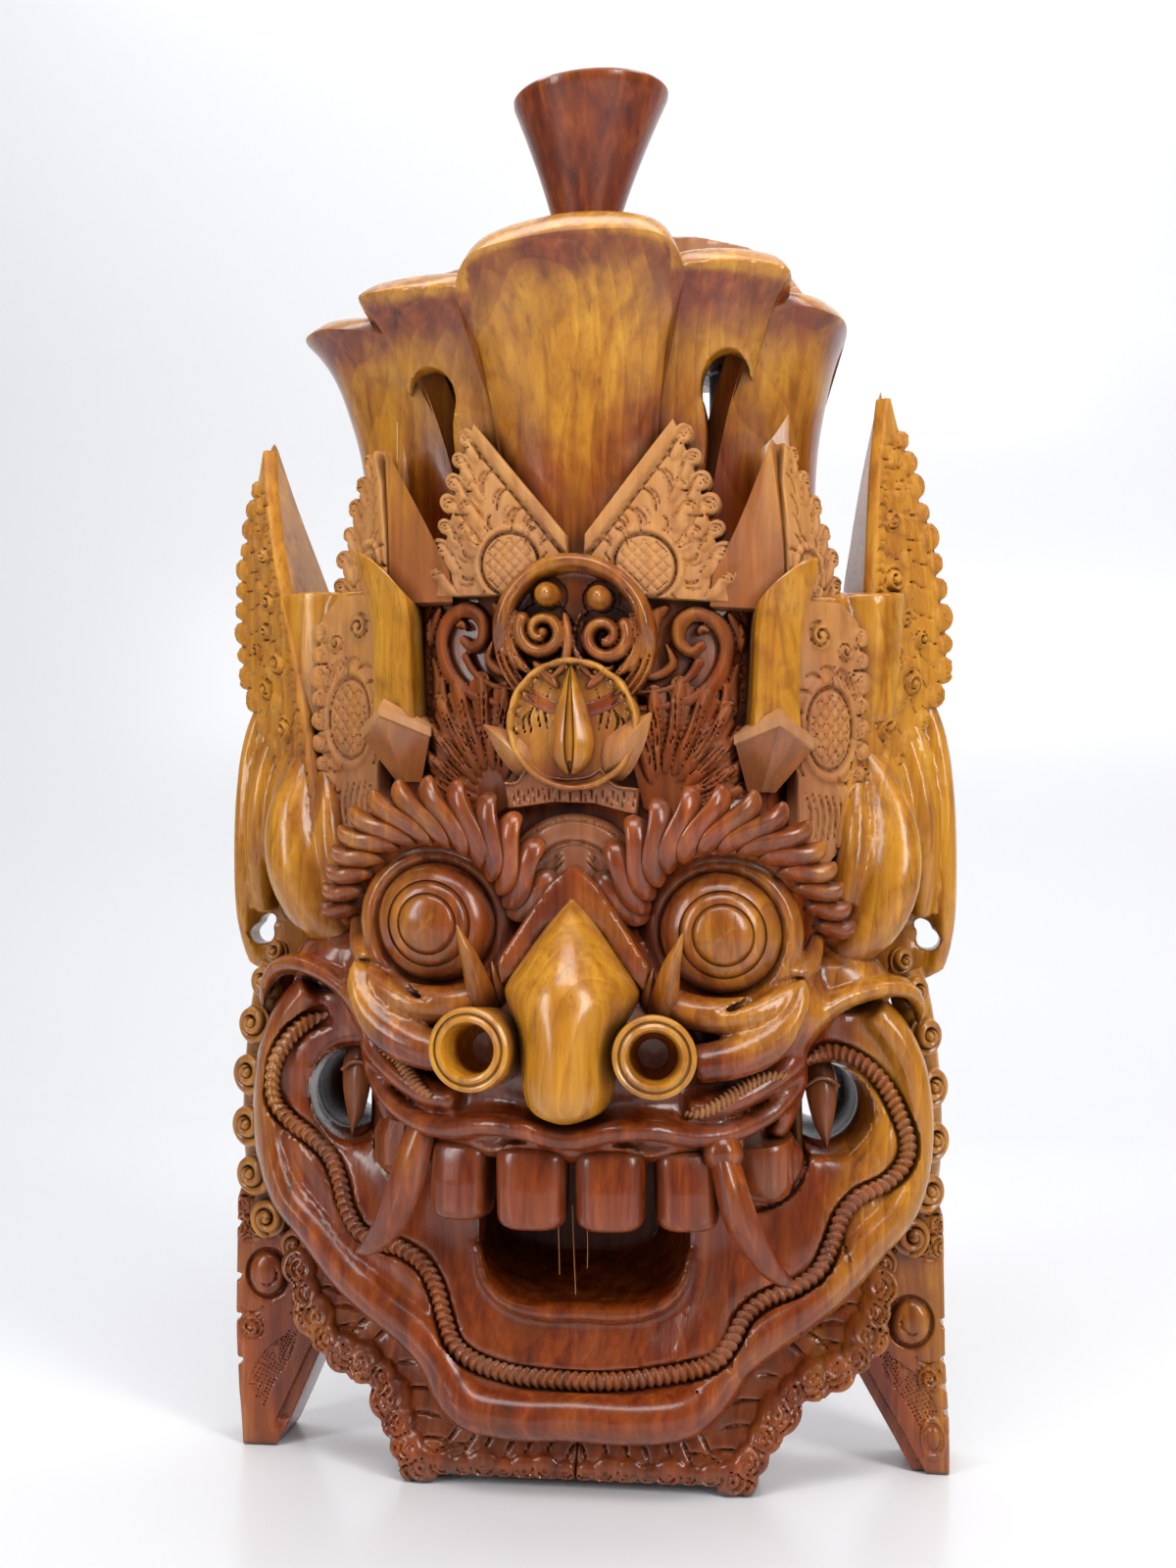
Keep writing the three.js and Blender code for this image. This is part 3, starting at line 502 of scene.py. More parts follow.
def front_y(F, x, z):
    """Where the front of a field is met, looking straight back at x, z."""
    x, z = np.atleast_1d(x), np.atleast_1d(z)
    i = np.clip(np.round(x / F.h).astype(int) - F.lo[0], 0, F.a.shape[0] - 1)
    k = np.clip(np.round(z / F.h).astype(int) - F.lo[2], 0, F.a.shape[2] - 1)
    col = F.a[i, :, k]
    j = np.maximum(np.argmax(col < 0, axis=1), 1)
    r = np.arange(len(x))
    a, b = col[r, j - 1], col[r, j]
    return (F.lo[1] + j - 1 + a / (a - b + 1e-9)) * F.h


def seated(F, pts, lift=0.0):
    """The same bar, laid on the front of a field."""
    P = np.array(pts, float)
    P[:, 1] = front_y(F, P[:, 0], P[:, 2]) - lift
    return [tuple(p) for p in P]


def cord_path(F, n=520):
    C = curve([(x, 0.0, z) for x, z in CORD], n)
    y = front_y(F, C[:, 0], C[:, 2])
    y = np.minimum(np.maximum(y, -100), -50)
    k = np.hanning(23); k /= k.sum()
    for _ in range(2):
        y = np.convolve(np.r_[[y[0]] * 11, y, [y[-1]] * 11], k, "valid")
    C[:, 1] = y
    return C


GUM = [(0, -115, 148.5, 3, 1.2), (3, -115, 149.6, 3, 1.3), (9, -116, 151, 3, 1.4), (16, -116, 151.4, 3, 1.4), (24, -115, 151, 3, 1.4), (30, -113, 149, 3, 1.2), (33, -112, 148.6, 3, 1.2),
       (39, -110, 150.4, 3, 1.3), (46, -107, 151, 3, 1.3), (54, -103, 150, 3, 1.3), (60, -99, 148.4, 3, 1.0), (68, -92, 150, 2.5, 1.0)]


def ring2(c, r, n):
    a = np.linspace(0, 2 * np.pi, n, endpoint=False)
    return [(c[0] + r[0] * math.cos(t), c[1] + r[1] * math.sin(t)) for t in a]


def prism(outline, y0, y1, close=None):
    """A flat outline in x and z, straight from y0 to y1."""
    P = np.asarray(outline, float)
    m = len(P)
    V = np.vstack([np.column_stack([P[:, 0], np.full(m, y0), P[:, 1]]), np.column_stack([P[:, 0], np.full(m, y1), P[:, 1]])])
    i = np.arange(m); j = (i + 1) % m
    Q = np.stack([i, j, j + m, i + m], -1)
    from mathutils.geometry import tessellate_polygon
    t = np.array(tessellate_polygon([[Vector((float(a), float(b), 0)) for a, b in P]]), int)
    n = np.cross(P[t[:, 1]] - P[t[:, 0]], P[t[:, 2]] - P[t[:, 0]])
    t = np.where((n > 0)[:, None], t, t[:, ::-1])
    area = 0.5 * np.sum(P[:, 0] * np.roll(P[:, 1], -1) - np.roll(P[:, 0], -1) * P[:, 1])
    if area > 0:
        T = np.vstack([t, t[:, ::-1] + m]); Q = Q[:, ::-1]
    else:
        T = np.vstack([t, t[:, ::-1] + m])
    return outward((V, Q, T))


def cup(w, low, bulge, ys, grow):
    rings = []
    for y, g in zip(ys, grow):
        a = np.linspace(0, np.pi, 40)
        x = (w + g) * np.cos(a); s = np.sin(a)
        sx = np.sign(np.cos(a)) * np.abs(np.cos(a)) ** 0.8 * (w + g)
        sz = 104 - (104 - low + g) * s ** 0.85
        top = [(-(w + g), 151.0), ((w + g), 151.0)]
        ring = [(px, y, pz) for px, pz in zip(sx, sz)] + [(px, y, pz) for px, pz in top]
        rings.append(ring)
    return loft(rings)


def shelf_plan(g):
    a = np.linspace(0, np.pi, 40)
    return [((84 + g) * math.copysign(abs(math.cos(t)) ** 0.9, math.cos(t)), -40 - (78 + g) * math.sin(t) ** 0.8) for t in a]


LIP = [(0, -121, 156.5, 11, 5.2), (18, -119, 160, 11, 5.4), (34, -115, 160.4, 11, 5.6), (49, -108, 157.4, 10, 5.4), (62, -101, 157.8, 9.5, 5.2),
       (74, -93, 162, 8, 5.0), (84, -86, 169, 7, 4.4), (91, -80, 177, 4, 3.0)]
CHEEK_BARS = [
    # whisker ribbon that curls over the cheek
    ([(144, -46, 196, 5, 1.0), (142.5, -51, 206, 8, 2.6), (137, -55, 213.5, 10, 3.8), (127, -61, 216, 11, 4.6), (115, -68, 214, 11, 5), (103, -75, 208.5, 11, 5.2), (94, -81, 200, 10, 5), (88, -86, 190, 7, 4), (85, -88, 182, 4, 2.6)], 2.0),
    # tendrils beside the nostrils
    ([(92, -96, 224, 0.6, 0.5), (92.2, -99, 217, 3.6, 3.0), (90, -101, 208, 6.5, 5.8), (84, -103, 199.5, 8, 8.0), (74, -106, 192.5, 9, 9.0), (62, -109, 188, 9.5, 8.6), (50, -110, 186, 9.5, 8)], 1.0),
    # cheek fold under them, running back from the lip
    ([(90, -84, 186, 6, 5), (82, -90, 180, 8, 5.5), (72, -96, 174, 9, 5.5), (60, -102, 169, 9, 5.5), (46, -106, 167, 9, 5)], 3.0),
    # inner edge of the cheek hollow
    ([(88, -84, 190, 6, 5), (89, -79, 180, 8, 5), (87, -76, 170, 9, 5), (84, -76, 160, 9, 4.6), (80, -78, 152, 8, 4)], 3.0),
]
CHEEK_CUTS = [
    [(88, -104, 190, 3, 1.0), (80, -110, 183, 4, 1.3), (70, -114, 179, 5, 1.3), (58, -116, 177, 5, 1.3), (46, -116, 176, 4, 1.0)],
    [(97, -98, 212, 4, 0.8), (92, -101, 203, 5, 1.2), (86, -101, 193, 5, 1.2), (80, -101, 186, 3, 0.9)],
    [(100, -86, 222, 4, 0.8), (84, -98, 219, 5, 1.2), (70, -104, 211, 6, 1.3), (58, -107, 206, 6, 1.3), (48, -108, 204, 4, 1)],
]
LIDS = [
    ([(22, -92, 222, 6, 5), (34, -100, 212, 9, 6.5), (50, -104, 206, 10, 7.5), (68, -102, 206, 10, 7.5), (84, -94, 213, 9, 6.5), (94, -82, 225, 7, 5), (98, -74, 238, 4, 3)], 2.0),
]


# ------------------------------------------------------- ornaments of the face
def aim(m, centre, yaw=0.0, pitch=0.0, roll=0.0):
    """Turns a mesh made around the origin, facing -Y, and sets it at centre."""
    def f(V):
        V = turn(V, roll, "y"); V = turn(V, pitch, "x"); V = turn(V, yaw, "z")
        return V + np.asarray(centre, float)
    return moved(m, f)


def lathe(profile, seg=56):
    return turned(profile, (0, 0, 0), seg)


def eye():
    p = [(0, -14), (24.4, -14), (24.9, -2), (24.7, 3), (23.6, 7), (21.6, 9.6), (19.2, 11.2), (18.0, 11.8), (17.5, 10.9), (17.1, 11.2), (16.8, 12.4), (15.8, 13.4),
         (14, 14.2), (12.9, 14.5), (12.4, 13.5), (12.0, 13.7), (11.7, 14.7), (10.6, 15.6), (7, 16.6), (3, 17.2), (0, 17.3)]
    return aim(lathe(p, 72), (EYE[0], EYE[1] + 2, EYE[2]), yaw=7)


def nostril():
    p = [(0, -30), (15.6, -30), (16.2, -8), (16.6, -1.5), (16.3, 0.6), (15.2, 1.5), (14.4, 1.2), (14.0, 0.1), (13.5, 0.2), (13.1, 1.3), (12, 2.0), (10.9, 1.6), (10.2, 0),
         (9.6, -4), (9.2, -20), (6, -24), (0, -25)]
    return aim(lathe(p, 56), NOSTRIL, yaw=7, pitch=-4)


def nose():
    rows = [(250.5, 0.8, 112, 104), (247, 4.5, 117, 104), (241, 9.5, 123, 104), (234, 14.5, 129.5, 103), (226, 20, 136, 102), (219, 25, 141, 102), (214, 27.6, 143.5, 102),
            (210, 26.8, 145, 102), (205, 24.4, 146.3, 103), (199, 21.6, 147.4, 104), (192, 20.2, 148.3, 105), (184, 19.6, 149, 106), (176, 18.8, 149.3, 108),
            (170, 17.0, 148, 110), (166.4, 14.0, 145, 112), (164.4, 9.5, 140, 116), (163.8, 4, 134, 122)]
    R = np.array(rows)
    z = np.linspace(R[0, 0], R[-1, 0], 90)
    g = [np.interp(-z, -R[:, 0], R[:, k]) for k in (1, 2, 3)]
    g = [np.convolve(np.r_[[v[0]] * 2, v, [v[-1]] * 2], [0.1, 0.2, 0.4, 0.2, 0.1], "valid") for v in g]
    n = 60
    a = np.linspace(0, 2 * np.pi, n, endpoint=False)
    rings = []
    for zi, w, f, b in zip(z, *g):
        front = np.sin(a) > 0
        # a soft ridge down the middle, flat flanks, rounded corners
        c = np.cos(a); s = np.sin(a)
        px = np.sign(c) * np.abs(c) ** 0.86 * w
        rise = np.abs(s) ** 0.75 * (f - b)
        y = -b - np.where(front, rise * (1 - 0.10 * np.abs(c)), 0) + np.where(front, 0, np.abs(s) * 8)
        rings.append(np.stack([px, y, np.full(n, zi)], -1))
    return loft(rings)


def horn():
    pts = [(35.5, -100, 199, 5, 6.2), (36.5, -107, 207, 5.2, 6.4), (38.5, -112, 216, 4.6, 5.2), (41, -116, 226, 3.4, 3.6), (43.5, -118, 233, 2.2, 2), (45.5, -119, 239, 0.5, 0.4)]
    return bar(pts, 24, 50, 1.6)


def shard():
    return bar([(30, -100, 203, 4, 4), (30.5, -106, 211, 3.4, 3.4), (32, -109, 218, 2.2, 1.8), (33, -110, 224, 0.5, 0.4)], 18, 30, 1.6)


def rope(P):
    """Crescent ridges packed along the channel."""
    pitch = 3.45
    L0 = np.r_[0, np.cumsum(np.linalg.norm(np.diff(P, axis=0), axis=1))]
    n = int(L0[-1] / pitch * 9)
    L = np.linspace(0, L0[-1], n)
    C = np.column_stack([np.interp(L, L0, P[:, k]) for k in range(3)])
    a = np.linspace(0, 2 * np.pi, 16, endpoint=False)
    _, N, B = tube_frames(C)
    way = np.where(L < L0[-1] * 0.5, 1.0, -1.0)
    wide = 3.7 + 0.5 * smooth((70 - C[:, 2]) / 14)
    rings = []
    for i in range(n):
        t = (L[i] / pitch + way[i] * (0.50 * np.cos(a) + 0.16 * np.sin(a))) % 1.0
        saw = np.where(t < 0.72, (t / 0.72) ** 0.75, ((1 - t) / 0.28) ** 0.8)
        k = 0.50 + 0.50 * saw
        e = 0.35 + 0.65 * smooth(min(L[i], L[-1] - L[i]) / 12)
        rings.append(C[i] + (0, 1.0, 0) + N[i] * (np.cos(a) * 3.3 * k * e)[:, None] + B[i] * (np.sin(a) * wide[i] * (0.3 + 0.7 * k) * e)[:, None])
    return loft(rings)


def knurl(F):
    out = []
    for pts in ([(-86, 191), (-77.5, 183.5), (-70.5, 178), (-63.4, 172.5), (-55, 168)], [(86, 181), (78, 180.5), (70, 177), (60.7, 171), (51, 166), (43, 165.5)]):
        C = curve([(x, 0, z) for x, z in pts], 30)
        y = front_y(F, C[:, 0], C[:, 2])
        y = np.convolve(np.r_[[y[0]] * 3, y, [y[-1]] * 3], np.ones(7) / 7, "valid")
        C[:, 1] = y - 0.3
        out.append(roped([tuple(c) for c in C[::3]], 2.3, np.array([1.2, 2.6, 3.0, 2.6, 1.4]), np.array([1.6, 3.0, 3.4, 3.0, 1.6]), 0.35, 0.5, 14, 8, 0.7))
    return out


def roped(points, pitch, rn, rb, lean=0.5, depth=0.45, sides=16, per=9, round_=0.6):
    """A cut cord that follows points: rounded lobes with deep notches between."""
    C = curve([p[:3] for p in points], 50)
    n = int(np.linalg.norm(np.diff(C, axis=0), axis=1).sum() / pitch * per)
    C = curve([p[:3] for p in points], n)
    s = np.linspace(0, 1, n)
    L = s * np.linalg.norm(np.diff(C, axis=0), axis=1).sum()
    _, N, B = tube_frames(C)
    a = np.linspace(0, 2 * np.pi, sides, endpoint=False)
    rn_, rb_ = (np.interp(s, np.linspace(0, 1, len(v)), v) if np.ndim(v) else np.full(n, v) for v in (rn, rb))
    rings = []
    for i in range(n):
        t = (L[i] / pitch + lean * np.sin(a)) % 1.0
        k = (1 - depth) + depth * np.abs(np.sin(np.pi * t)) ** round_
        rings.append(C[i] + N[i] * (np.cos(a) * rn_[i] * k)[:, None] + B[i] * (np.sin(a) * rb_[i] * k)[:, None])
    return loft(rings)


BLADE = [(-1.0, 0.0), (-0.82, 0.34), (-0.5, 0.66), (-0.15, 0.88), (0.2, 0.99), (0.5, 1.0), (0.70, 0.90), (0.80, 0.62), (0.84, 0.2), (0.80, -0.5), (0.3, -1.0), (-0.6, -1.0), (-0.95, -0.6)]


def blade(P, w, h, nn, hand=1):
    """A shingle-like lock: it rises slowly to a crest and drops away sharply."""
    P = np.asarray(P, float)
    T, N, B = tube_frames(P, tuple(nn))
    rings = []
    for i in range(len(P)):
        rings.append([P[i] + B[i] * (hand * bx * w[i]) + N[i] * (hz * h[i]) for bx, hz in BLADE])
    return loft(rings)


def brow():
    """Fourteen S-shaped locks that overlap around the eye."""
    out = []
    path = curve([(17.5, -91, 249), (21, -96, 259), (29, -100, 270), (41, -102, 279), (56, -101.5, 283), (71, -98, 281.5), (84, -92, 275), (94, -85, 264.5), (101, -77, 252), (105.5, -69, 240)], 400)
    n = 14
    T, N, B = tube_frames(path)
    for i in range(n):
        u = (i + 0.5) / n
        j = int(u * 399)
        c, t, o, nn = path[j], T[j], B[j], N[j]
        if np.dot(o, (c - np.array(EYE))) < 0:
            o = -o
        size = np.interp(u, [0, 0.12, 0.3, 0.6, 0.8, 1.0], [12.5, 15.5, 16.0, 14.5, 10.0, 7.5])
        sl = np.interp(u, [0, 0.2, 0.6, 0.85, 1.0], [0.25, 0.55, 0.60, 0.30, 0.10])
        k = np.linspace(-1, 1, 30)
        slant = size * (sl * k + 0.20 * np.sin(2.9 * k))
        P = c + o * (k * size * 0.94)[:, None] + t * slant[:, None] + nn * (5.5 * (1 - 0.8 * k ** 2) + 0.8 * k + 1.0)[:, None]
        env = np.clip(1 - np.abs(k) ** 3.0, 0, 1) ** 0.6
        w = (np.interp(u, [0, 0.3, 0.7, 1], [5.2, 5.2, 5.0, 4.6])) * env + 0.3
        h = 5.4 * env ** 0.8 + 0.3
        hand = 1 if np.dot(np.cross(np.gradient(P, axis=0)[15], nn), t) < 0 else -1
        out.append(blade(P, w, h, nn, hand))
    return out


def tooth(w, d, half, top=0.9):
    k = np.linspace(-1, 1, 34)
    a = np.linspace(0, 2 * np.pi, 48, endpoint=False)
    c, s = np.cos(a), np.sin(a)
    rings = []
    for t in k:
        f = (1 - abs(t) ** 7.0) ** 0.3 if t < 0 else (1 - abs(t) ** 9) ** 0.25
        f = max(f, 0.02)
        wx = w * f * (0.97 + 0.03 * t)
        dy = d * f * (1 - 0.18 * max(t, 0) - 0.02 * t)
        rings.append(np.stack([np.sign(c) * np.abs(c) ** 0.62 * wx, -np.sign(s) * np.abs(s) ** 0.8 * dy, np.full(48, t * half)], -1))
    return loft(rings)


def teeth():
    out = []
    for x, w, y, turn_, z, half in ((15.6, 14.7, -108.5, 3, 134, 17.0), (-16.2, 15.0, -108.5, -3, 134, 17.2), (45.8, 13.6, -101.5, 15, 133.5, 17.0), (-46.4, 12.9, -101, -15, 135, 16.2)):
        m = tooth(w, 11.5, half)
        out.append(aim(m, (x, y, z), yaw=turn_))
    return out


def tusk_r():
    return [bar([(57.5, -101, 156, 6, 5.8), (60.5, -105, 148, 8.2, 6.2), (63.5, -108, 138, 8.0, 6.6), (66.5, -108.5, 127, 7.6, 7.0), (71, -106, 115.5, 6.8, 6.6), (76.5, -101.5, 105, 5.4, 5.2), (83.5, -96, 97, 3.4, 3.4), (90, -92.5, 92.5, 0.8, 0.9)], 30, 80, 1.7),
            bar([(58.5, -101, 155.5, 6, 6), (60, -104, 151.2, 9.6, 7.8), (61.2, -106, 147, 9.6, 7.8), (62, -107, 144, 6, 6)], 30, 24, 2.4)]


def tusk_l():
    return [bar([(-60.5, -99, 161, 4, 4.6), (-63.5, -104, 153, 5.2, 6.4), (-67, -106, 142, 5, 7.2), (-70.5, -105.5, 130, 4.8, 7.4), (-75.5, -103, 118.5, 4.6, 7.0), (-82, -98.5, 109.5, 4, 5.6), (-88.5, -94, 103.5, 3, 3.6), (-94, -90.5, 101, 0.8, 0.9)], 28, 80, 1.55)]


def molars():
    # right: a half-round block with a flat, tilted top
    rings = []
    a = np.linspace(0, 2 * np.pi, 44, endpoint=False)
    for t, g in ((0, 0.55), (0.03, 0.72), (0.12, 0.9), (0.3, 1), (0.9, 1), (0.965, 0.985), (1.0, 0.95)):
        z = lerp(125, 151, t)
        x = 73 + 15.0 * g * np.sign(np.cos(a)) * np.abs(np.cos(a)) ** 0.8
        y = -78 - 14.5 * g * np.sign(np.sin(a)) * np.abs(np.sin(a)) ** 0.85
        rings.append(np.stack([x, y, z + (y + 78) * 0.16 * t + (x - 73) * 0.10 * t], -1))
    r = loft(rings)
    # left: bevelled on every side like a cut stone
    P = [(-66.5, 0), (-66.5, -13), (-73, -15.5), (-82, -12), (-88.5, -3), (-84, 6)]
    rings = []
    for z, g in ((133.5, 0.7), (137.5, 0.98), (150.5, 1.0), (157.5, 0.74), (161, 0.42)):
        rings.append([(-76 + (x + 76) * g, -79 + y * g, z + (y * 0.18 if z > 140 else 0)) for x, y, _ in subdiv([(p[0], p[1], 0) for p in P], 4)])
    return [r], [loft(rings)]


def fang(left=False):
    """The leaf-shaped fang that stands in each cheek hollow, with an arc cut across it."""
    pts = [(100, -52, 181, 4, 5.5), (100.5, -55, 174, 5, 6.6), (101, -57, 165, 4.6, 6.2), (101.5, -58, 155, 3.6, 4.2), (102.5, -58, 147, 1.6, 1.4), (102.8, -58, 143.5, 0.4, 0.4)]
    line = [(93.5, -60, 171, 1, 0.8), (98, -62, 175, 1.6, 1.1), (103, -62, 175, 1.6, 1.1), (107.5, -60, 171.5, 1, 0.8)]
    wall = [(91, -42, 184, 12, 4), (90, -44, 168, 14, 4.4), (90.5, -44, 150, 14, 4), (92, -42, 142, 12, 3)]
    out = [bar(pts, 24, 60, 1.5), bar(line, 12, 24), bar(wall, 20, 30, 2.2)]
    return [flip(m) for m in out] if left else out


def hairs():
    return [bar([(x, -86, 122, 0.16, 0.16), (x + 0.2, -84, 106, 0.16, 0.16), (x + d, -82, z, 0.12, 0.12)], 6, 12) for x, d, z in ((-9.5, 0.2, 92), (-3.3, 0.8, 84), (2.6, -0.2, 95))]


def volute(r, thick, turns=1.7, n=80, lift=3.4):
    """A round curl facing -Y: a bar wound in a spiral around a bud, like a snail shell."""
    t = np.linspace(0, 1, n)
    a = t * turns * 2 * np.pi
    rad = r * (0.86 - 0.70 * t)
    P = np.stack([rad * np.cos(a), -lift * 1.6 * t ** 0.8, rad * np.sin(a)], -1)
    w = thick * (1 - 0.42 * t)
    w[:4] *= (0.25, 0.5, 0.75, 0.92)
    m = sweep(P, w * 1.25, w * 0.86, 14)
    b = ball((0, -lift * 1.3, 0), (r * 0.24, r * 0.32, r * 0.24), 14)
    c = turned([(0, 2), (r * 0.86, 2), (r * 0.8, -0.5), (r * 0.35, 2.4), (0, 2.6)], (0, 0, 0), 32)
    return joined([m, b, c])


# -------------------------------------------------------------------- crown
def petal(lo, hi, arris, dome, rad, flare, bevel=None, cap=22.0, z0=392.0, nu=64, inner=13.0):
    """A flared petal: a concave face, a sharp lip, and a rounded cap that runs back from it.
    lo and hi give the angles of its two edges by height; arris and dome the heights over k = -1..1."""
    rings = []
    for u in np.linspace(0, 1, nu + 1):
        k = 2 * u - 1
        za, zd = arris(k), dome(k)
        v = np.linspace(0, 1, 44) ** 0.85
        z = lerp(z0, za, v)
        th = np.radians(lerp(lo(z), hi(z), u))
        q = rad(z) + flare * (np.clip((z - za + 34) / 34, 0, 1) ** 3.2) / 110
        q = q + (bevel(k, z) if bevel else 0) / 110
        pts = [np.stack([134 * q * np.sin(th), -96 * q * np.cos(th), z], -1)]
        t, c = np.array([math.sin(th[-1]), -math.cos(th[-1])]), max(cap * (1 - 0.72 * abs(k) ** 3), 4)
        w = np.array([0.0, 0.03, 0.12, 0.3, 0.5, 0.72, 0.9, 1.0])
        qq = q[-1] - (w * c - 0.2) / 110
        zz = za + 0.5 + (zd - za) * np.sin(np.clip(w, 0, 1) * math.pi / 2) ** 0.9 * (1 - 0.12 * w ** 4)
        pts.append(np.stack([134 * qq * t[0], 96 * qq * t[1], zz], -1))
        vi = np.linspace(0.96, 0, 22)
        zi = lerp(z0, za, vi)
        thi = np.radians(lerp(lo(zi), hi(zi), u))
        qi = np.minimum(rad(zi) - inner / 110, qq[-1] - 2 / 110)
        pts.append(np.stack([134 * qi * np.sin(thi), -96 * qi * np.cos(thi), zi], -1))
        rings.append(np.vstack(pts))
    return loft(rings)


def by_height(*rows):
    z, v = np.array(rows, float).T
    return lambda q: np.interp(q, z, v)


def shell_r(base, add=0.0):
    return lambda z: base + add / 110 + 0.215 * np.clip((z - 392) / 113, 0, 1.25) ** 1.9


def centre_petal():
    half = by_height((392, 15.2), (444, 16.2), (469, 17.6), (500, 18.9), (530, 19.3))
    return petal(lambda z: -half(z), half, lambda k: 516.5 - 3 * k * k - 14 * abs(k) ** 8, lambda k: 529.5 - 8 * k * k - 20 * abs(k) ** 9 + 0.6,
                 shell_r(0.80, 6), 7.5, lambda k, z: 8.0 * (1 - k * k) - 1.5 * abs(k) ** 6, 25)


def mid_petal():
    hi = by_height((392, 31.5), (419, 39.6), (443, 43.2), (468, 45.8), (500, 47.5), (530, 48))
    lo = by_height((392, 10), (500, 13.5), (530, 14))
    return petal(lo, hi, lambda k: 506.5 - 4 * (k * 0.85 - 0.10) ** 2 - 9.0 * abs(k) ** 7, lambda k: 515.5 - 5 * (k * 0.9 - 0.10) ** 2 - 14 * abs(k) ** 8 + 0.5,
                 shell_r(0.795, 1), 7.5, lambda k, z: 2.6 * (1 - k * k) - 13.5 * np.clip((k - 0.52) / 0.48, 0, 1) - 1.5 * np.clip((-0.5 - k) / 0.5, 0, 1), 20)


def outer_petal():
    lo, hi = by_height((392, 30), (500, 40)), by_height((392, 86), (505, 86.5))
    return petal(lo, hi, lambda k: 497.5 - 2 * k * k + 1.5 * k - 2.5 * abs(k) ** 6, lambda k: 504.5 - 5 * k * k - 3.5 * abs(k) ** 8 + 0.5,
                 shell_r(0.785, -4.5), 5.5, lambda k, z: 6.5 * (1 - k * k), 14)


SLOT = [(47.5, 409), (51.5, 424), (54.2, 440), (54.0, 452), (52.5, 459.5), (53.5, 467), (58, 473.5), (64.5, 476), (70.8, 474), (74.2, 467.5), (74.4, 458), (72.2, 446), (67.8, 432), (61, 417), (54, 406.5)]


def crown_field():
    h = 1.2
    F = Field((-8, -116, 376), (150, 4, 548), h, band=4)
    # bell-shaped core that the petals grow from
    F.stamp(dloft([(376, 95, 82), (400, 92, 72), (430, 93, 70), (460, 99, 72)], 60, 2.2), k=2)
    F.stamp(dloft([(370, 84, 68), (405, 80, 58), (440, 80, 60), (486, 94, 68), (500, 102, 74)], 60, 2.2, 3), "cut", k=1)
    F.stamp(dloft([(474, 96, 70), (484, 104, 74), (492, 108, 76), (498, 106, 74)], 60, 2.0, -1), k=2)
    F.stamp(arch(), k=1)
    F.stamp(mid_petal(), k=0.2)
    # arched slots through the second petals
    s = curve([(a, 0, b) for a, b in SLOT + SLOT[:1]], 100)[:-1]
    F.stamp(prism([(p[0], p[2]) for p in s], -130, -18), "cut", k=0.8)
    F.mirror()
    # wall inside each slot, running back from its outer side; the tone attribute paints it dark as shade
    for x0, sg in ((60.5, -1), (53.5, 1)):
        w = [[(x0 + 14, -52, z), (x0 + 6, -47, z), (x0 - 0.5 + 0.04 * abs(z - 440) * (z < 440), -36, z), (x0 + 2, -12, z), (94, -10, z), (94, -50, z), (x0 + 22, -57, z)] for z in (396, 410, 425, 440, 455, 470, 485)]
        m = loft([subdiv(r, 4) for r in w])
        F.stamp(m if sg > 0 else flip(m), k=0.8)
    return F


def slot_painted_shade(V):
    """The inside of the slots is painted dark as shade."""
    x, y, z = np.abs(V[:, 0]), V[:, 1], V[:, 2]
    r = np.hypot(V[:, 0] / 134, y / 96)
    inside = smooth((0.80 + 0.215 * np.clip((z - 392) / 113, 0, 1.2) ** 1.9 - 0.045 - r) / 0.05)
    return 0.95 * inside * (x > 40) * (x < 84) * (z > 398) * (z < 482) * (y < -12)


def arch():
    p = [(-116, 486), (116, 486), (104, 508), (88, 524), (70, 533), (46, 539), (20, 541.5), (-20, 541.5), (-46, 539), (-70, 533), (-88, 524), (-104, 508)]
    return prism(p, -20, 0)


def finial():
    p = []
    for t in np.linspace(0, 1, 44):
        r = 9.3 + 1.8 * np.clip(1 - t * 6, 0, 1) + 24.6 * np.clip((t - 0.17) / 0.83, 0, 1) ** 1.42
        p.append((r, 96 * t))
    p = [(0, -6), (12, -6), (11.4, -1)] + p + [(34.2, 98.4), (33.4, 99.6), (31.5, 99.8), (26, 92), (14, 78), (0, 72)]
    m = turned(p, (0, 0, 0), 96, axis=(0, 0, 1))
    return moved(m, lambda V: np.column_stack([V[:, 0] + lerp(-3.0, 1.0, np.clip(V[:, 2] / 100, 0, 1)), V[:, 1] - 38, V[:, 2] + 500]))


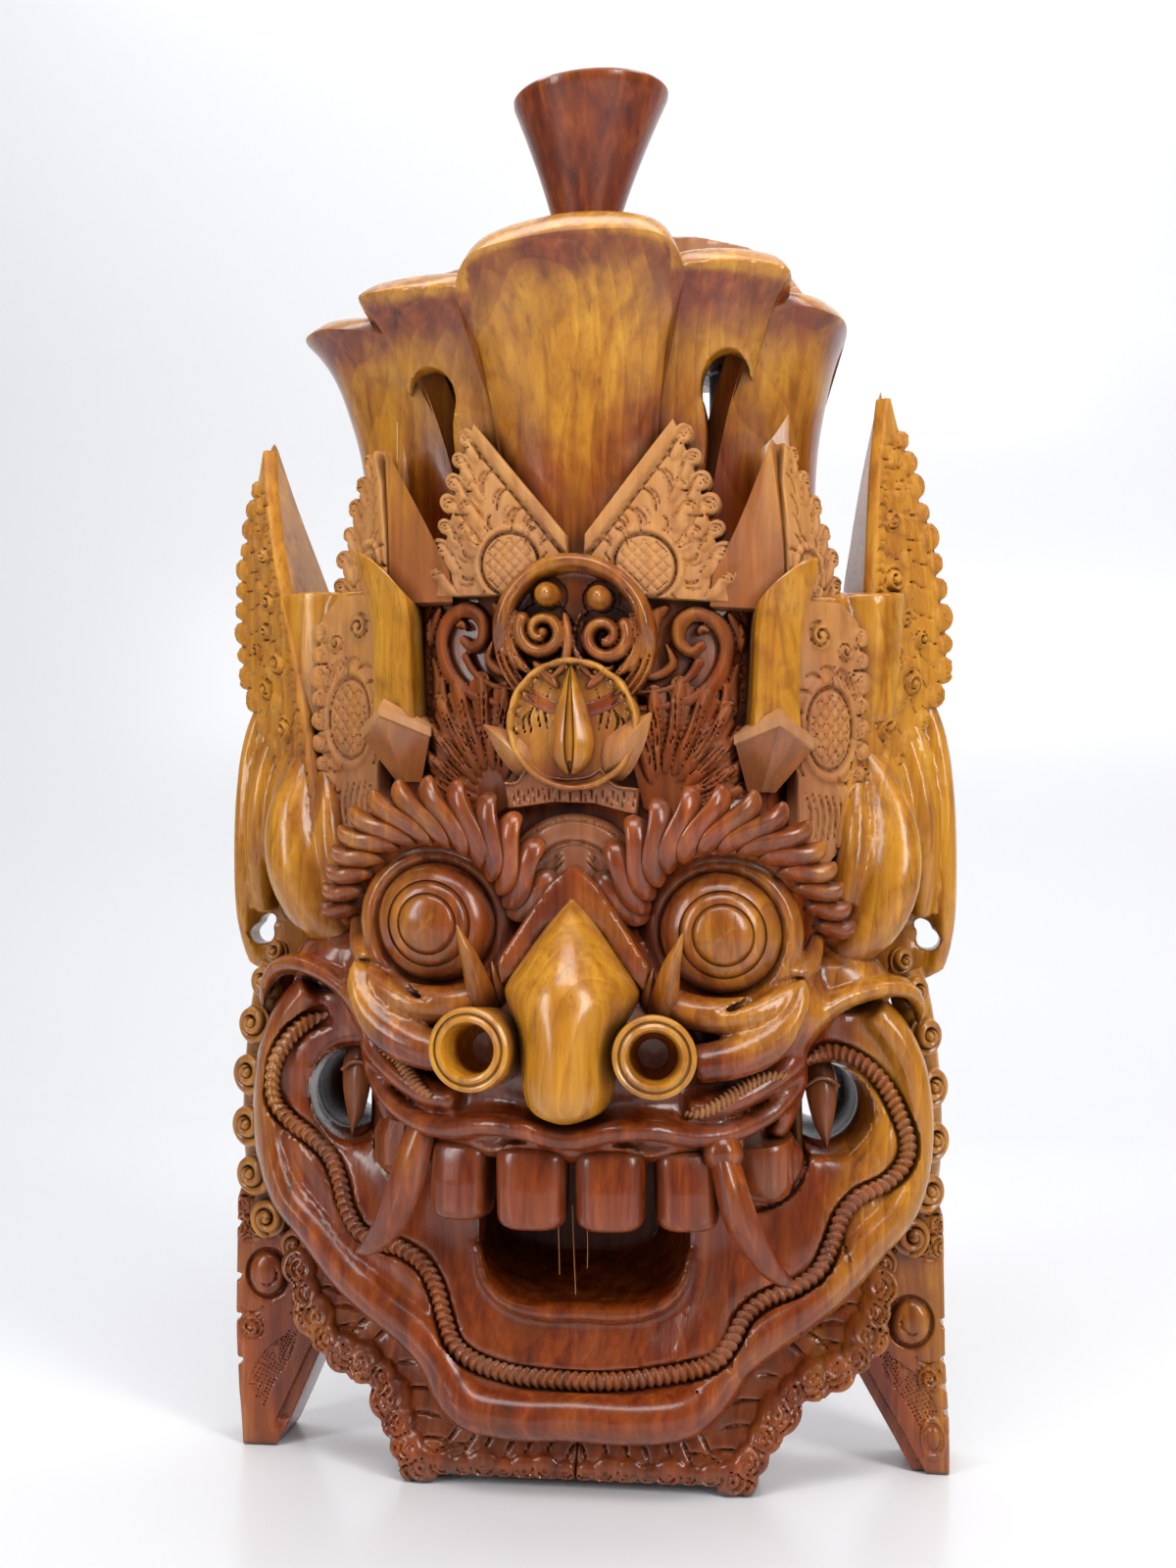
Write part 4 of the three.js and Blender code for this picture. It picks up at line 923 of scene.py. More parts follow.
# ------------------------------------------------------------------ material
def wood(name="carved_wood", spec=0.42, coat=0.30):
    mat = bpy.data.materials.new(name)
    mat.use_nodes = True
    nt = mat.node_tree
    nt.nodes.clear()
    N = lambda kind, **kw: _node(nt, kind, **kw)
    L = nt.links.new
    out = N("ShaderNodeOutputMaterial")
    bs = N("ShaderNodeBsdfPrincipled")
    L(bs.outputs[0], out.inputs[0])
    tc = N("ShaderNodeTexCoord")
    obj = tc.outputs["Object"]
    # tone attribute: sapwood amount, pale unpolished dust, and painted shade for deep recesses
    att = N("ShaderNodeAttribute", attribute_name="tone")
    sep = N("ShaderNodeSeparateColor"); L(att.outputs["Color"], sep.inputs[0])
    sap, dust, dark = sep.outputs[0], sep.outputs[1], sep.outputs[2]

    def mapped(scale, loc=(0, 0, 0)):
        m = N("ShaderNodeMapping"); m.inputs["Scale"].default_value = scale; m.inputs["Location"].default_value = loc
        L(obj, m.inputs[0]); return m.outputs[0]

    def noise(vec, scale, detail=3.0, rough=0.5, dist=0.0):
        n = N("ShaderNodeTexNoise"); L(vec, n.inputs["Vector"])
        n.inputs["Scale"].default_value = scale; n.inputs["Detail"].default_value = detail
        n.inputs["Roughness"].default_value = rough; n.inputs["Distortion"].default_value = dist
        return n.outputs["Fac"]

    def ramp(fac, stops, interp="LINEAR"):
        r = N("ShaderNodeValToRGB"); r.color_ramp.interpolation = interp
        e = r.color_ramp.elements
        e[0].position, e[0].color = stops[0][0], _rgba(stops[0][1])
        e[1].position, e[1].color = stops[-1][0], _rgba(stops[-1][1])
        for p, c in stops[1:-1]:
            k = e.new(p); k.color = _rgba(c)
        L(fac, r.inputs[0]); return r.outputs[0]

    def math_(op, a, b=None, clamp=False):
        m = N("ShaderNodeMath", operation=op, use_clamp=clamp)
        for i, v in enumerate((a, b)):
            if v is None: continue
            if isinstance(v, (int, float)): m.inputs[i].default_value = v
            else: L(v, m.inputs[i])
        return m.outputs[0]

    def mix(fac, a, b, mode="MIX"):
        m = N("ShaderNodeMix", data_type="RGBA", blend_type=mode)
        for s, v in ((0, fac), (6, a), (7, b)):
            if isinstance(v, (int, float)): m.inputs[s].default_value = v
            elif isinstance(v, tuple): m.inputs[s].default_value = _rgba(v)
            else: L(v, m.inputs[s])
        return m.outputs[2]

    # growth rings: distance from the pith of the log, bent by slow noise
    warp = noise(mapped((3.0, 3.0, 0.9)), 3.0, 2.0)
    xyz = N("ShaderNodeSeparateXYZ"); L(mapped((1, 1, 1), (0.02, -0.01, 0)), xyz.inputs[0])
    r2 = math_("SQRT", math_("ADD", math_("MULTIPLY", xyz.outputs[0], xyz.outputs[0]), math_("MULTIPLY", xyz.outputs[1], xyz.outputs[1])))
    rr = math_("ADD", math_("MULTIPLY", r2, 105.0), math_("ADD", math_("MULTIPLY", warp, 13.0), math_("MULTIPLY", xyz.outputs[2], 4.5)))
    ring = math_("FRACT", rr)
    ringc = ramp(ring, [(0.0, (0.18,) * 3), (0.10, (0.5,) * 3), (0.7, (0.62,) * 3), (0.93, (0.92,) * 3), (1.0, (0.18,) * 3)])
    streak = noise(mapped((95, 95, 5.5)), 1.6, 4.0, 0.6, 0.4)
    fine = noise(mapped((520, 520, 26)), 1.2, 3.0, 0.6)
    blotch = noise(mapped((17, 17, 10)), 1.0, 4.0, 0.60, 0.9)
    mottle = noise(mapped((60, 60, 44)), 1.0, 4.0, 0.65, 0.5)

    heart = ramp(streak, [(0.25, (0.065, 0.0080, 0.0016)), (0.45, (0.165, 0.0240, 0.0034)), (0.62, (0.260, 0.0480, 0.0060)), (0.8, (0.380, 0.0920, 0.013))])
    sapw = ramp(streak, [(0.22, (0.300, 0.090, 0.0060)), (0.42, (0.450, 0.172, 0.0100)), (0.62, (0.560, 0.250, 0.0170)), (0.82, (0.650, 0.330, 0.036))])
    edge = math_("ADD", sap, math_("MULTIPLY", math_("SUBTRACT", blotch, 0.5), 1.5))
    edge = math_("ADD", edge, math_("MULTIPLY", math_("SUBTRACT", ring, 0.5), 0.10))
    fac = ramp(edge, [(0.10, (0,) * 3), (1.0, (1,) * 3)], "EASE")
    col = mix(fac, heart, sapw)
    col = mix(0.16, col, ringc, "OVERLAY")
    col = mix(math_("MULTIPLY", ramp(mottle, [(0.50, (0,) * 3), (0.70, (1,) * 3)]), 0.50), col, (0.17, 0.040, 0.006))
    col = mix(math_("MULTIPLY", ramp(fine, [(0.58, (0,) * 3), (0.72, (1,) * 3)]), 0.45), col, (0.07, 0.016, 0.004))
    # unpolished carving: pale and pinkish
    pale = ramp(noise(mapped((180, 180, 20)), 1.0, 3.0), [(0.3, (0.44, 0.190, 0.082)), (0.7, (0.66, 0.350, 0.165))])
    col = mix(math_("MULTIPLY", dust, 0.80), col, pale)
    # painted shade: crevices are darkened towards near black by ambient occlusion, with a grey bloom of dust higher up
    ao = N("ShaderNodeAmbientOcclusion", samples=6, only_local=False)
    ao.inputs["Distance"].default_value = 0.011
    occ = math_("POWER", ao.outputs["AO"], 1.0)
    deep = ramp(occ, [(0.12, (1,) * 3), (0.70, (0,) * 3)], "EASE")
    col = mix(math_("MULTIPLY", deep, 0.86), col, (0.022, 0.0045, 0.0014))
    # painted shade: the tone attribute's third channel darkens the mouth, cheek hollows, slots and post sides to near
    # black
    col = mix(math_("MULTIPLY", dark, 0.92), col, (0.012, 0.0030, 0.0012))
    bloom = ramp(occ, [(0.40, (0,) * 3), (0.60, (1,) * 3), (0.82, (0,) * 3)])
    bfac = math_("MULTIPLY", math_("MULTIPLY", bloom, ramp(noise(mapped((55, 55, 55)), 1.0, 3.0), [(0.45, (0,) * 3), (0.7, (1,) * 3)])), 0.30)
    col = mix(bfac, col, (0.40, 0.30, 0.22))
    # worn edges show lighter
    geo = N("ShaderNodeNewGeometry")
    worn = ramp(geo.outputs["Pointiness"], [(0.515, (0,) * 3), (0.60, (1,) * 3)])
    col = mix(math_("MULTIPLY", worn, 0.16), col, (0.60, 0.28, 0.085))
    L(col, bs.inputs["Base Color"])
    rough = math_("ADD", math_("MULTIPLY", blotch, 0.14), 0.15)
    rough = math_("ADD", rough, math_("MULTIPLY", fine, 0.08))
    rough = math_("ADD", rough, math_("MULTIPLY", dust, 0.22))
    rough = math_("ADD", rough, math_("MULTIPLY", deep, 0.25), clamp=True)
    L(rough, bs.inputs["Roughness"])
    bs.inputs["IOR"].default_value = 1.5
    bs.inputs["Specular IOR Level"].default_value = spec
    bs.inputs["Coat Weight"].default_value = coat
    bs.inputs["Coat Roughness"].default_value = 0.13
    bump = N("ShaderNodeBump"); bump.inputs["Strength"].default_value = 0.25; bump.inputs["Distance"].default_value = 0.0006
    hgt = math_("ADD", math_("MULTIPLY", fine, -0.6), math_("ADD", math_("MULTIPLY", streak, 0.7), math_("MULTIPLY", mottle, 0.5)))
    L(hgt, bump.inputs["Height"]); L(bump.outputs[0], bs.inputs["Normal"])
    return mat


def _rgba(c):
    return (c[0], c[1], c[2], 1.0)


def _node(nt, kind, **kw):
    n = nt.nodes.new(kind)
    for k, v in kw.items():
        setattr(n, k, v)
    return n


def log_tone(base=0.0, dust=0.0, dark=0.0):
    """Sapwood lies on the outside of the log, and the log is thinner at the top."""
    def f(V):
        r = np.sqrt((V[:, 0] / 152) ** 2 + ((V[:, 1] + 4) / 128) ** 2)
        r0 = np.interp(V[:, 2], [0, 120, 300, 400, 470, 600], [1.02, 0.98, 0.90, 0.72, 0.58, 0.60])
        sap = smooth((r - r0 + 0.26) / 0.52)
        d = dust(V) if callable(dust) else np.full(len(V), float(dust))
        # third channel: painted shade for recesses
        k = dark(V) if callable(dark) else np.full(len(V), float(dark))
        b = base(V) if callable(base) else base
        return np.column_stack([np.clip(sap + b, 0, 1), np.clip(d, 0, 1), np.clip(k, 0, 1)])
    return f


# --------------------------------------------------------------------- stage
def plain(name, col, rough, spec=0.5):
    m = bpy.data.materials.new(name); m.use_nodes = True
    b = m.node_tree.nodes["Principled BSDF"]
    b.inputs["Base Color"].default_value = (*col, 1); b.inputs["Roughness"].default_value = rough
    b.inputs["Specular IOR Level"].default_value = spec
    return m


def stage():
    sc = bpy.context.scene
    prof = [(-3.2, 0.0), (0.9, 0.0)]
    for i in range(1, 13):
        a = math.radians(i * 7.5)
        prof.append((0.9 + 0.9 * math.sin(a), 0.9 - 0.9 * math.cos(a)))
    prof.append((1.8, 3.6))
    V = [(x, y, z) for y, z in prof for x in (-7.0, 7.0)]
    Fc = [(2 * i, 2 * i + 1, 2 * i + 3, 2 * i + 2) for i in range(len(prof) - 1)]
    me = bpy.data.meshes.new("table"); me.from_pydata(V, [], Fc); me.update()
    for p in me.polygons: p.use_smooth = True
    ob = bpy.data.objects.new("table", me); sc.collection.objects.link(ob)
    me.materials.append(plain("white_table", (0.79, 0.795, 0.815), 0.22, 0.35))
    w = bpy.data.worlds.new("studio"); sc.world = w; w.use_nodes = True
    w.node_tree.nodes["Background"].inputs[0].default_value = (0.94, 0.96, 1.0, 1)
    w.node_tree.nodes["Background"].inputs[1].default_value = 0.17

    def area(name, loc, aim_, size, power, col=(1, 1, 1)):
        d = bpy.data.lights.new(name, "AREA"); d.shape = "RECTANGLE"; d.size, d.size_y = size; d.energy = power; d.color = col
        o = bpy.data.objects.new(name, d); sc.collection.objects.link(o)
        o.location = loc
        o.rotation_euler = (Vector(aim_) - Vector(loc)).to_track_quat("-Z", "Y").to_euler()
        return o
    area("key", (1.35, -1.25, 1.15), (0.0, 0, 0.30), (0.45, 1.3), 24, (1.0, 0.985, 0.96))
    area("fill", (-1.35, -1.35, 0.95), (0.0, 0, 0.28), (0.38, 1.3), 16, (0.98, 0.99, 1.0))
    area("top", (0.1, -0.75, 1.75), (0.0, -0.02, 0.3), (1.2, 0.6), 16)
    area("back_wash", (0.0, 0.75, 2.3), (0.0, 1.7, 0.5), (3.0, 0.8), 25)
    area("floor_wash", (0.0, 0.2, 2.6), (0.0, 0.5, 0.0), (3.4, 1.6), 11)
    sc.view_settings.view_transform = "Standard"
    sc.view_settings.look = "None"
    sc.view_settings.exposure = 0.0


def camera():
    cam = bpy.data.cameras.new("camera")
    cam.sensor_width = 36; cam.lens = 45.0; cam.shift_x = -0.0069; cam.shift_y = 0.0094
    cam.clip_start = 0.05; cam.clip_end = 20
    ob = bpy.data.objects.new("camera", cam); bpy.context.scene.collection.objects.link(ob)
    ob.location = (0.1175, -0.8923 + YB, 0.291)
    ob.rotation_euler = Vector((-0.1305, 0.9914, 0)).to_track_quat("-Z", "Y").to_euler()
    bpy.context.scene.camera = ob


# ------------------------------------------------------------ relief carving
def arc(cx, cz, r, a0, a1, n=20, rz=None):
    a = np.radians(np.linspace(a0, a1, n))
    return np.column_stack([cx + r * np.cos(a), cz + (rz or r) * np.sin(a)])


def path2(pts, n=40):
    return curve([(a, 0, b) for a, b in pts], n)[:, [0, 2]]


def lens(n, w, power=0.7, skew=1.0):
    return w * np.sin(np.pi * np.linspace(0, 1, n) ** skew) ** power + 0.05


class Relief:
    """A carved panel: an outline, and a height over it, in x and z."""

    def __init__(s, x0, x1, z0, z1, h=0.75):
        s.h = h * 1.0
        s.i0, s.k0 = math.floor(x0 / s.h), math.floor(z0 / s.h)
        s.x = np.arange(s.i0, math.ceil(x1 / s.h) + 1) * s.h
        s.z = np.arange(s.k0, math.ceil(z1 / s.h) + 1) * s.h
        s.X, s.Z = np.meshgrid(s.x, s.z, indexing="ij")
        s.D = np.full(s.X.shape, 50.0)
        s.H = np.zeros(s.X.shape)
        s.C = np.zeros(s.X.shape)

    def poly(s, pts):
        P = np.asarray(pts, float)
        d = np.full(s.X.shape, 1e9); inside = np.zeros(s.X.shape, bool)
        for a, b in zip(P, np.roll(P, -1, 0)):
            e = b - a
            t = np.clip(((s.X - a[0]) * e[0] + (s.Z - a[1]) * e[1]) / (e @ e + 1e-12), 0, 1)
            d = np.minimum(d, (s.X - a[0] - t * e[0]) ** 2 + (s.Z - a[1] - t * e[1]) ** 2)
            cond = (a[1] > s.Z) != (b[1] > s.Z)
            with np.errstate(divide="ignore", invalid="ignore"):
                inside ^= cond & (s.X < (b[0] - a[0]) * (s.Z - a[1]) / (b[1] - a[1] + 1e-15) + a[0])
        d = np.sqrt(d)
        return np.where(inside, -d, d)

    def fill(s, pts, k=0.0):
        s.join(s.poly(pts), k)

    def join(s, d, k=0.0):
        if k:
            t = np.clip(0.5 + 0.5 * (d - s.D) / k, 0, 1)
            s.D = d * (1 - t) + s.D * t - k * t * (1 - t)
        else:
            s.D = np.minimum(s.D, d)

    def disc(s, cx, cz, rx, rz=None):
        q = s.q(cx, cz, rx, rz or rx)
        s.join((q - 1) * min(rx, rz or rx))

    def hole(s, cx, cz, rx, rz=None):
        q = s.q(cx, cz, rx, rz or rx)
        s.D = np.maximum(s.D, -(q - 1) * min(rx, rz or rx))

    def q(s, cx, cz, rx, rz, rot=0.0):
        c, n = math.cos(math.radians(rot)), math.sin(math.radians(rot))
        a, b = s.X - cx, s.Z - cz
        return np.sqrt(((a * c + b * n) / rx) ** 2 + ((b * c - a * n) / rz) ** 2)

    def win(s, P, pad):
        i = np.clip([math.floor((P[:, 0].min() - pad) / s.h) - s.i0, math.ceil((P[:, 0].max() + pad) / s.h) - s.i0 + 1], 0, len(s.x))
        k = np.clip([math.floor((P[:, 1].min() - pad) / s.h) - s.k0, math.ceil((P[:, 1].max() + pad) / s.h) - s.k0 + 1], 0, len(s.z))
        return slice(i[0], i[1]), slice(k[0], k[1])

    def stroke(s, P, w, d, kind="v", mode="cut"):
        P = np.asarray(P, float)
        w = np.broadcast_to(w, len(P)).astype(float); d = np.broadcast_to(d, len(P)).astype(float)
        sl = s.win(P, w.max())
        X, Z = s.X[sl], s.Z[sl]
        if X.size == 0:
            return
        q2 = np.full(X.shape, 9.0); dd = np.zeros(X.shape)
        for (px, pz), wi, di in zip(P, w, d):
            t = ((X - px) ** 2 + (Z - pz) ** 2) / (wi * wi)
            m = t < q2
            q2[m] = t[m]; dd[m] = di
        q = np.sqrt(q2)
        v = np.clip(1 - q, 0, 1)
        if kind == "round":
            v = np.sqrt(np.clip(1 - q * q, 0, 1))
        elif kind == "flat":
            v = smooth(v * 2.4)
        if mode == "cut":
            s.C[sl] = np.maximum(s.C[sl], dd * v)
        elif mode == "join":
            s.D[sl] = np.minimum(s.D[sl], (q - 1) * np.interp(0.5, [0, 1], [w.min(), w.max()]))
        else:
            s.H[sl] = np.where(q < 1, np.maximum(s.H[sl], dd * v), s.H[sl])

    def cut(s, pts, w, d, n=26, kind="v"):
        P = path2(pts, n) if len(pts) < 12 else np.asarray(pts)
        s.stroke(P, lens(len(P), w), d, kind)

    def crescent(s, cx, cz, r, a0, a1, w=0.9, d=1.5):
        s.stroke(arc(cx, cz, r, a0, a1, 16), lens(16, w, 0.6), d)

    def dome(s, cx, cz, rx, rz, h, rot=0.0):
        q = s.q(cx, cz, rx, rz, rot)
        s.H = np.maximum(s.H, h * np.sqrt(np.clip(1 - q * q, 0, 1)))

    def pit(s, cx, cz, rx, rz, d, rot=0.0):
        q = s.q(cx, cz, rx, rz, rot)
        s.C = np.maximum(s.C, d * smooth((1 - q) * 2.2))

    def sink(s, pts, d, edge=1.6):
        s.C = np.maximum(s.C, d * smooth(-s.poly(pts) / edge))

    def rise(s, pts, h, edge=1.6):
        s.H = np.maximum(s.H, h * smooth(-s.poly(pts) / edge))

    def curl(s, cx, cz, r, a0=0, hand=1, turns=1.5, h=2.6, g=1.3, w=0.16):
        s.dome(cx, cz, r, r, h)
        t = np.linspace(0, 1, 60)
        rad = r * (0.92 - 0.70 * t); a = np.radians(a0) + hand * t * turns * 2 * np.pi
        s.stroke(np.column_stack([cx + rad * np.cos(a), cz + rad * np.sin(a)]), r * w * (1 - 0.35 * t) + 0.25, h * 0.55 + g, "v")
        s.H = np.maximum(s.H, (h + 0.6) * np.sqrt(np.clip(1 - (s.q(cx, cz, r * 0.24, r * 0.24)) ** 2, 0, 1)))

    def hatch(s, cx, cz, rx, rz, pitch=3.0, w=0.75, d=1.0, rot=38, rise=1.4):
        q = s.q(cx, cz, rx, rz)
        s.H = np.maximum(s.H, rise * np.sqrt(np.clip(1 - q * q, 0, 1)))
        for r in (rot, -rot):
            c, n = math.cos(math.radians(r)), math.sin(math.radians(r))
            u = ((s.X - cx) * c + (s.Z - cz) * n) / pitch
            e = np.abs(u - np.round(u)) * pitch
            s.C = np.maximum(s.C, np.where(q < 0.86, d * np.clip(1 - e / w, 0, 1), 0))
        m = min(rx, rz)
        s.C = np.maximum(s.C, 1.8 * np.clip(1 - np.abs((q - 1.0) * m) / 1.1, 0, 1))
        s.H = np.maximum(s.H, 1.5 * np.sqrt(np.clip(1 - ((q - 1.16) * m / 1.7) ** 2, 0, 1)))

    def leafage(s, path, n, r, side=1, grow=0.4, depth=1.5, arcs=2, tail=2.2, lift=1.4, hold=True, phase=0.5, fan=0.0):
        """Round lobes along an edge, each with nested gouge cuts and a tail that flows inwards."""
        P = path2(path, 200)
        T = np.gradient(P, axis=0); T /= np.linalg.norm(T, axis=1)[:, None]
        for i in range(n):
            j = int((i + phase) / n * 199)
            p, t = P[j], T[j]
            o = np.array([t[1], -t[0]]) * side          # out of the leaf
            ri = r * (1 - 0.18 * math.sin(i * 2.4))
            c = p + o * ri * grow
            if hold:
                s.disc(c[0], c[1], ri)
            s.dome(c[0], c[1], ri * 1.05, ri * 1.05, lift)
            base = math.degrees(math.atan2(o[1], o[0]))
            for k in range(arcs):
                rr = ri * (0.78 - 0.34 * k)
                c2 = c - o * ri * 0.15 + t * ri * 0.12
                s.crescent(c2[0], c2[1], rr, base - 95 + fan, base + 80 + fan, 0.34 * ri ** 0.5 + 0.16, depth * (1 - 0.15 * k))
            # notch between neighbours
            m = p + t * ri * 1.02
            a = m + o * ri * 1.2; b = m - o * ri * 0.7
            s.stroke(np.linspace(a, b, 14), np.linspace(0.75, 0.2, 14), depth * 1.25)
            q = c - o * ri * 0.9
            s.cut([q, q - o * ri * tail * 0.5 + t * ri * 0.42, q - o * ri * tail + t * ri * 1.1], 0.55 + 0.05 * ri, depth)

    def flames(s, path, n, r, side=1, depth=1.8, barbs=3, hold=True, lift=2.0, phase=0.5, reach=1.0, w=1.0, out_=0.35):
        """Hooked leaf lobes along an edge: each has a domed tip and long nested gouge cuts
        that swing over the tip and sweep back into the leaf."""
        P = path2(path, 240)
        T = np.gradient(P, axis=0); T /= np.linalg.norm(T, axis=1)[:, None]
        for i in range(n):
            j = int((i + phase) / n * 239)
            p, t = P[j], T[j]
            o = np.array([t[1], -t[0]]) * side
            ri = r * (1 + 0.12 * math.sin(i * 2.4)) * (1 - 0.25 * max(0, (i + 1) / n - 0.75) * 4 * 0.6)
            M = lambda a, b: p + o * a * ri + t * b * ri
            tip = M(out_, 0.35)
            rot = math.degrees(math.atan2(o[1], o[0]))
            if hold:
                q = s.q(tip[0], tip[1], ri * 1.0, ri * 0.78, rot + 28 * side)
                s.join((q - 1) * ri * 0.8)
            s.dome(*M(out_ - 0.1, 0.2), ri * 1.05, ri * 0.85, lift, rot + 28 * side)
            s.dome(*M(out_ - 0.9, -0.6), ri * 1.25 * reach, ri * 0.6, lift * 0.8, rot + 42 * side)
            for k in range(barbs):
                f, g = 0.24 * k, 0.25 * k
                pts = [M(out_ + 0.62 - f * 1.2, -0.20 + 0.06 * k), M(out_ + 0.52 - f, 0.50 - g), M(out_ - 0.15 - f, 0.72 - g), M(out_ - 0.95 - f * 0.8 * reach, 0.10 - g * 1.1), M(out_ - 1.15 - (0.55 + f) * reach, -0.75 - g)]
                q = path2(pts, 34)
                s.stroke(q, lens(34, (0.42 + 0.17 * ri ** 0.75) * w * (1 - 0.12 * k), 0.55), depth * (1 - 0.1 * k))
            # deep notch under each lobe
            a, b = M(out_ + 0.9, -0.62), M(out_ - 0.55, -0.42)
            s.stroke(np.linspace(a, b, 14), np.linspace(0.9, 0.25, 14), depth * 1.4)

    def mesh(s, base, back, ysurf=None, round_=1.0, adapt=0.03, wall=None):
        T = base + s.H - s.C
        h = s.h
        y0 = -(T[s.D < 2].max() if (s.D < 2).any() else base) - 3 * h
        j0 = math.floor(y0 / h)
        y = np.arange(j0, math.ceil((back + 3 * h) / h) + 1) * h
        front = (-T[:, None, :] - y[None, :, None]) * 0.8
        D = s.D[:, None, :] + 0 * y[None, :, None]
        k = round_
        if k:
            t = np.clip(0.5 - 0.5 * (D - front) / k, 0, 1)
            f = D * (1 - t) + front * t + k * t * (1 - t)
        else:
            f = np.maximum(D, front)
        f = np.maximum(f, (y - back)[None, :, None])
        B = 3.0 * h
        f = np.clip(f, -B, B).astype(F32)
        for ax in range(3):
            e = [slice(None)] * 3
            for m in (0, -1):
                e[ax] = m
                f[tuple(e)] = B
        g = vdb.FloatGrid(float(B))
        g.copyFromArray(np.ascontiguousarray(f), ijk=(s.i0, j0, s.k0))
        g.transform = vdb.createLinearTransform(h)
        V, Tr, Q = g.convertToPolygons(isovalue=0.0, adaptivity=adapt)
        V = np.asarray(V, float)
        if ysurf is not None:
            V[:, 1] += ysurf(V[:, 0], V[:, 2])
        return outward((V, np.asarray(Q, int).reshape(-1, 4), np.asarray(Tr, int).reshape(-1, 3)))


def around(m, x0, y0, deg, z0=0.0, tip=0.0):
    """Turns a panel about the upright line through x0, and moves that line to y0."""
    def f(V):
        W = V - (x0, 0, z0)
        if tip:
            W = turn(W, tip, "x")
        W = turn(W, deg, "z")
        return W + (x0, y0, z0)
    return moved(m, f)


# ------------------------------------------------------------- carved panels
def inner_leaf():
    R = Relief(0, 70, 370, 450, 0.72)
    R.fill([(42, 447), (4, 399), (2, 374), (62, 374), (58, 392), (54, 408), (49, 428)])
    R.flames([(60, 378), (57, 396), (53, 412), (48, 430), (43, 444)], 7, 5.0, side=1, depth=2.2, barbs=3, lift=2.0, reach=1.0)
    R.flames([(47, 396), (45, 410), (41, 424)], 3, 4.6, side=1, depth=2.0, barbs=2, hold=False, lift=1.6)
    R.hatch(28, 387, 12.5, 13.0, 3.5, 0.5, 1.1, 45)
    for a in (160, 128, 100, 72, 46, 20, -8, -36, -62, 196, 228):
        c, n = math.cos(math.radians(a)), math.sin(math.radians(a))
        R.crescent(28 + 18.2 * c, 387 + 18.6 * n, 3.8, a - 150, a - 10, 1.1, 2.0)
        R.crescent(28 + 19.4 * c, 387 + 19.8 * n, 6.0, a - 140, a - 40, 0.8, 1.5)
    for i in range(4):
        a = lerp(np.array([15.0, 402.5]), np.array([36.0, 430.0]), i / 3.4)
        R.cut([a, a + (3.5, -1.5), a + (5.5, -5.5), a + (5.5, -10)], 1.15, 2.2)
        R.cut([a + (3.2, 0.5), a + (6.2, -2.5), a + (7.6, -7)], 0.9, 1.8)
    R.cut([(8, 390), (11, 384), (10, 377)], 1.0, 1.8); R.cut([(12, 392), (14.5, 386), (13.5, 379)], 0.9, 1.6)
    # plain straight band on the inner edge
    d = np.abs((R.X - 4) * (447 - 399) - (R.Z - 399) * (42 - 4)) / math.hypot(38, 48)
    band = smooth((5.4 - d) / 1.0)
    R.C *= 1 - band
    R.H = R.H * (1 - band) + (2.6 - 0.25 * d) * band
    R.C = np.maximum(R.C, 2.0 * np.clip(1 - np.abs(d - 6.2) / 0.9, 0, 1))
    return R.mesh(11, 0, lambda x, z: -88.5 + (z - 376) * 0.02 + np.abs(x) ** 2 * 0.0042, 1.0)


def outer_leaf():
    # carved outer half and a plain facet facing the middle, meeting on an arris
    R = Relief(-6, 36, 370, 442, 0.7)
    R.fill([(3, 441), (-2, 425), (-4, 372), (28, 372), (27, 392), (22, 408), (12, 428)])
    R.flames([(29, 376), (26, 394), (21, 409), (13, 425), (5, 439)], 6, 4.8, depth=2.1, barbs=3, lift=1.9)
    R.hatch(9, 387, 7.5, 10, 3.0, 0.5, 1.0)
    for a in (150, 110, 70, 30, -10, 190):
        c, n = math.cos(math.radians(a)), math.sin(math.radians(a))
        R.crescent(9 + 11 * c, 387 + 14 * n, 3.4, a - 150, a - 10, 1.0, 1.8)
    for z in (404, 412, 420, 428):
        R.cut([(1, z), (4, z - 2), (5.5, z - 6), (5, z - 10)], 1.0, 1.9)
    m = around(R.mesh(9, 0, None, 1.0), 0, 0, 48)
    m = moved(m, lambda V: V + (82, -66, 0))
    # facet
    a = [(84, -76, 441), (84, -74, 372), (54, -86, 372), (55, -88, 384)]
    b = [(x + 2, y + 8.0, z - 1) for x, y, z in a]
    f = loft([subdiv(a, 10), subdiv(b, 10)])
    return m, f


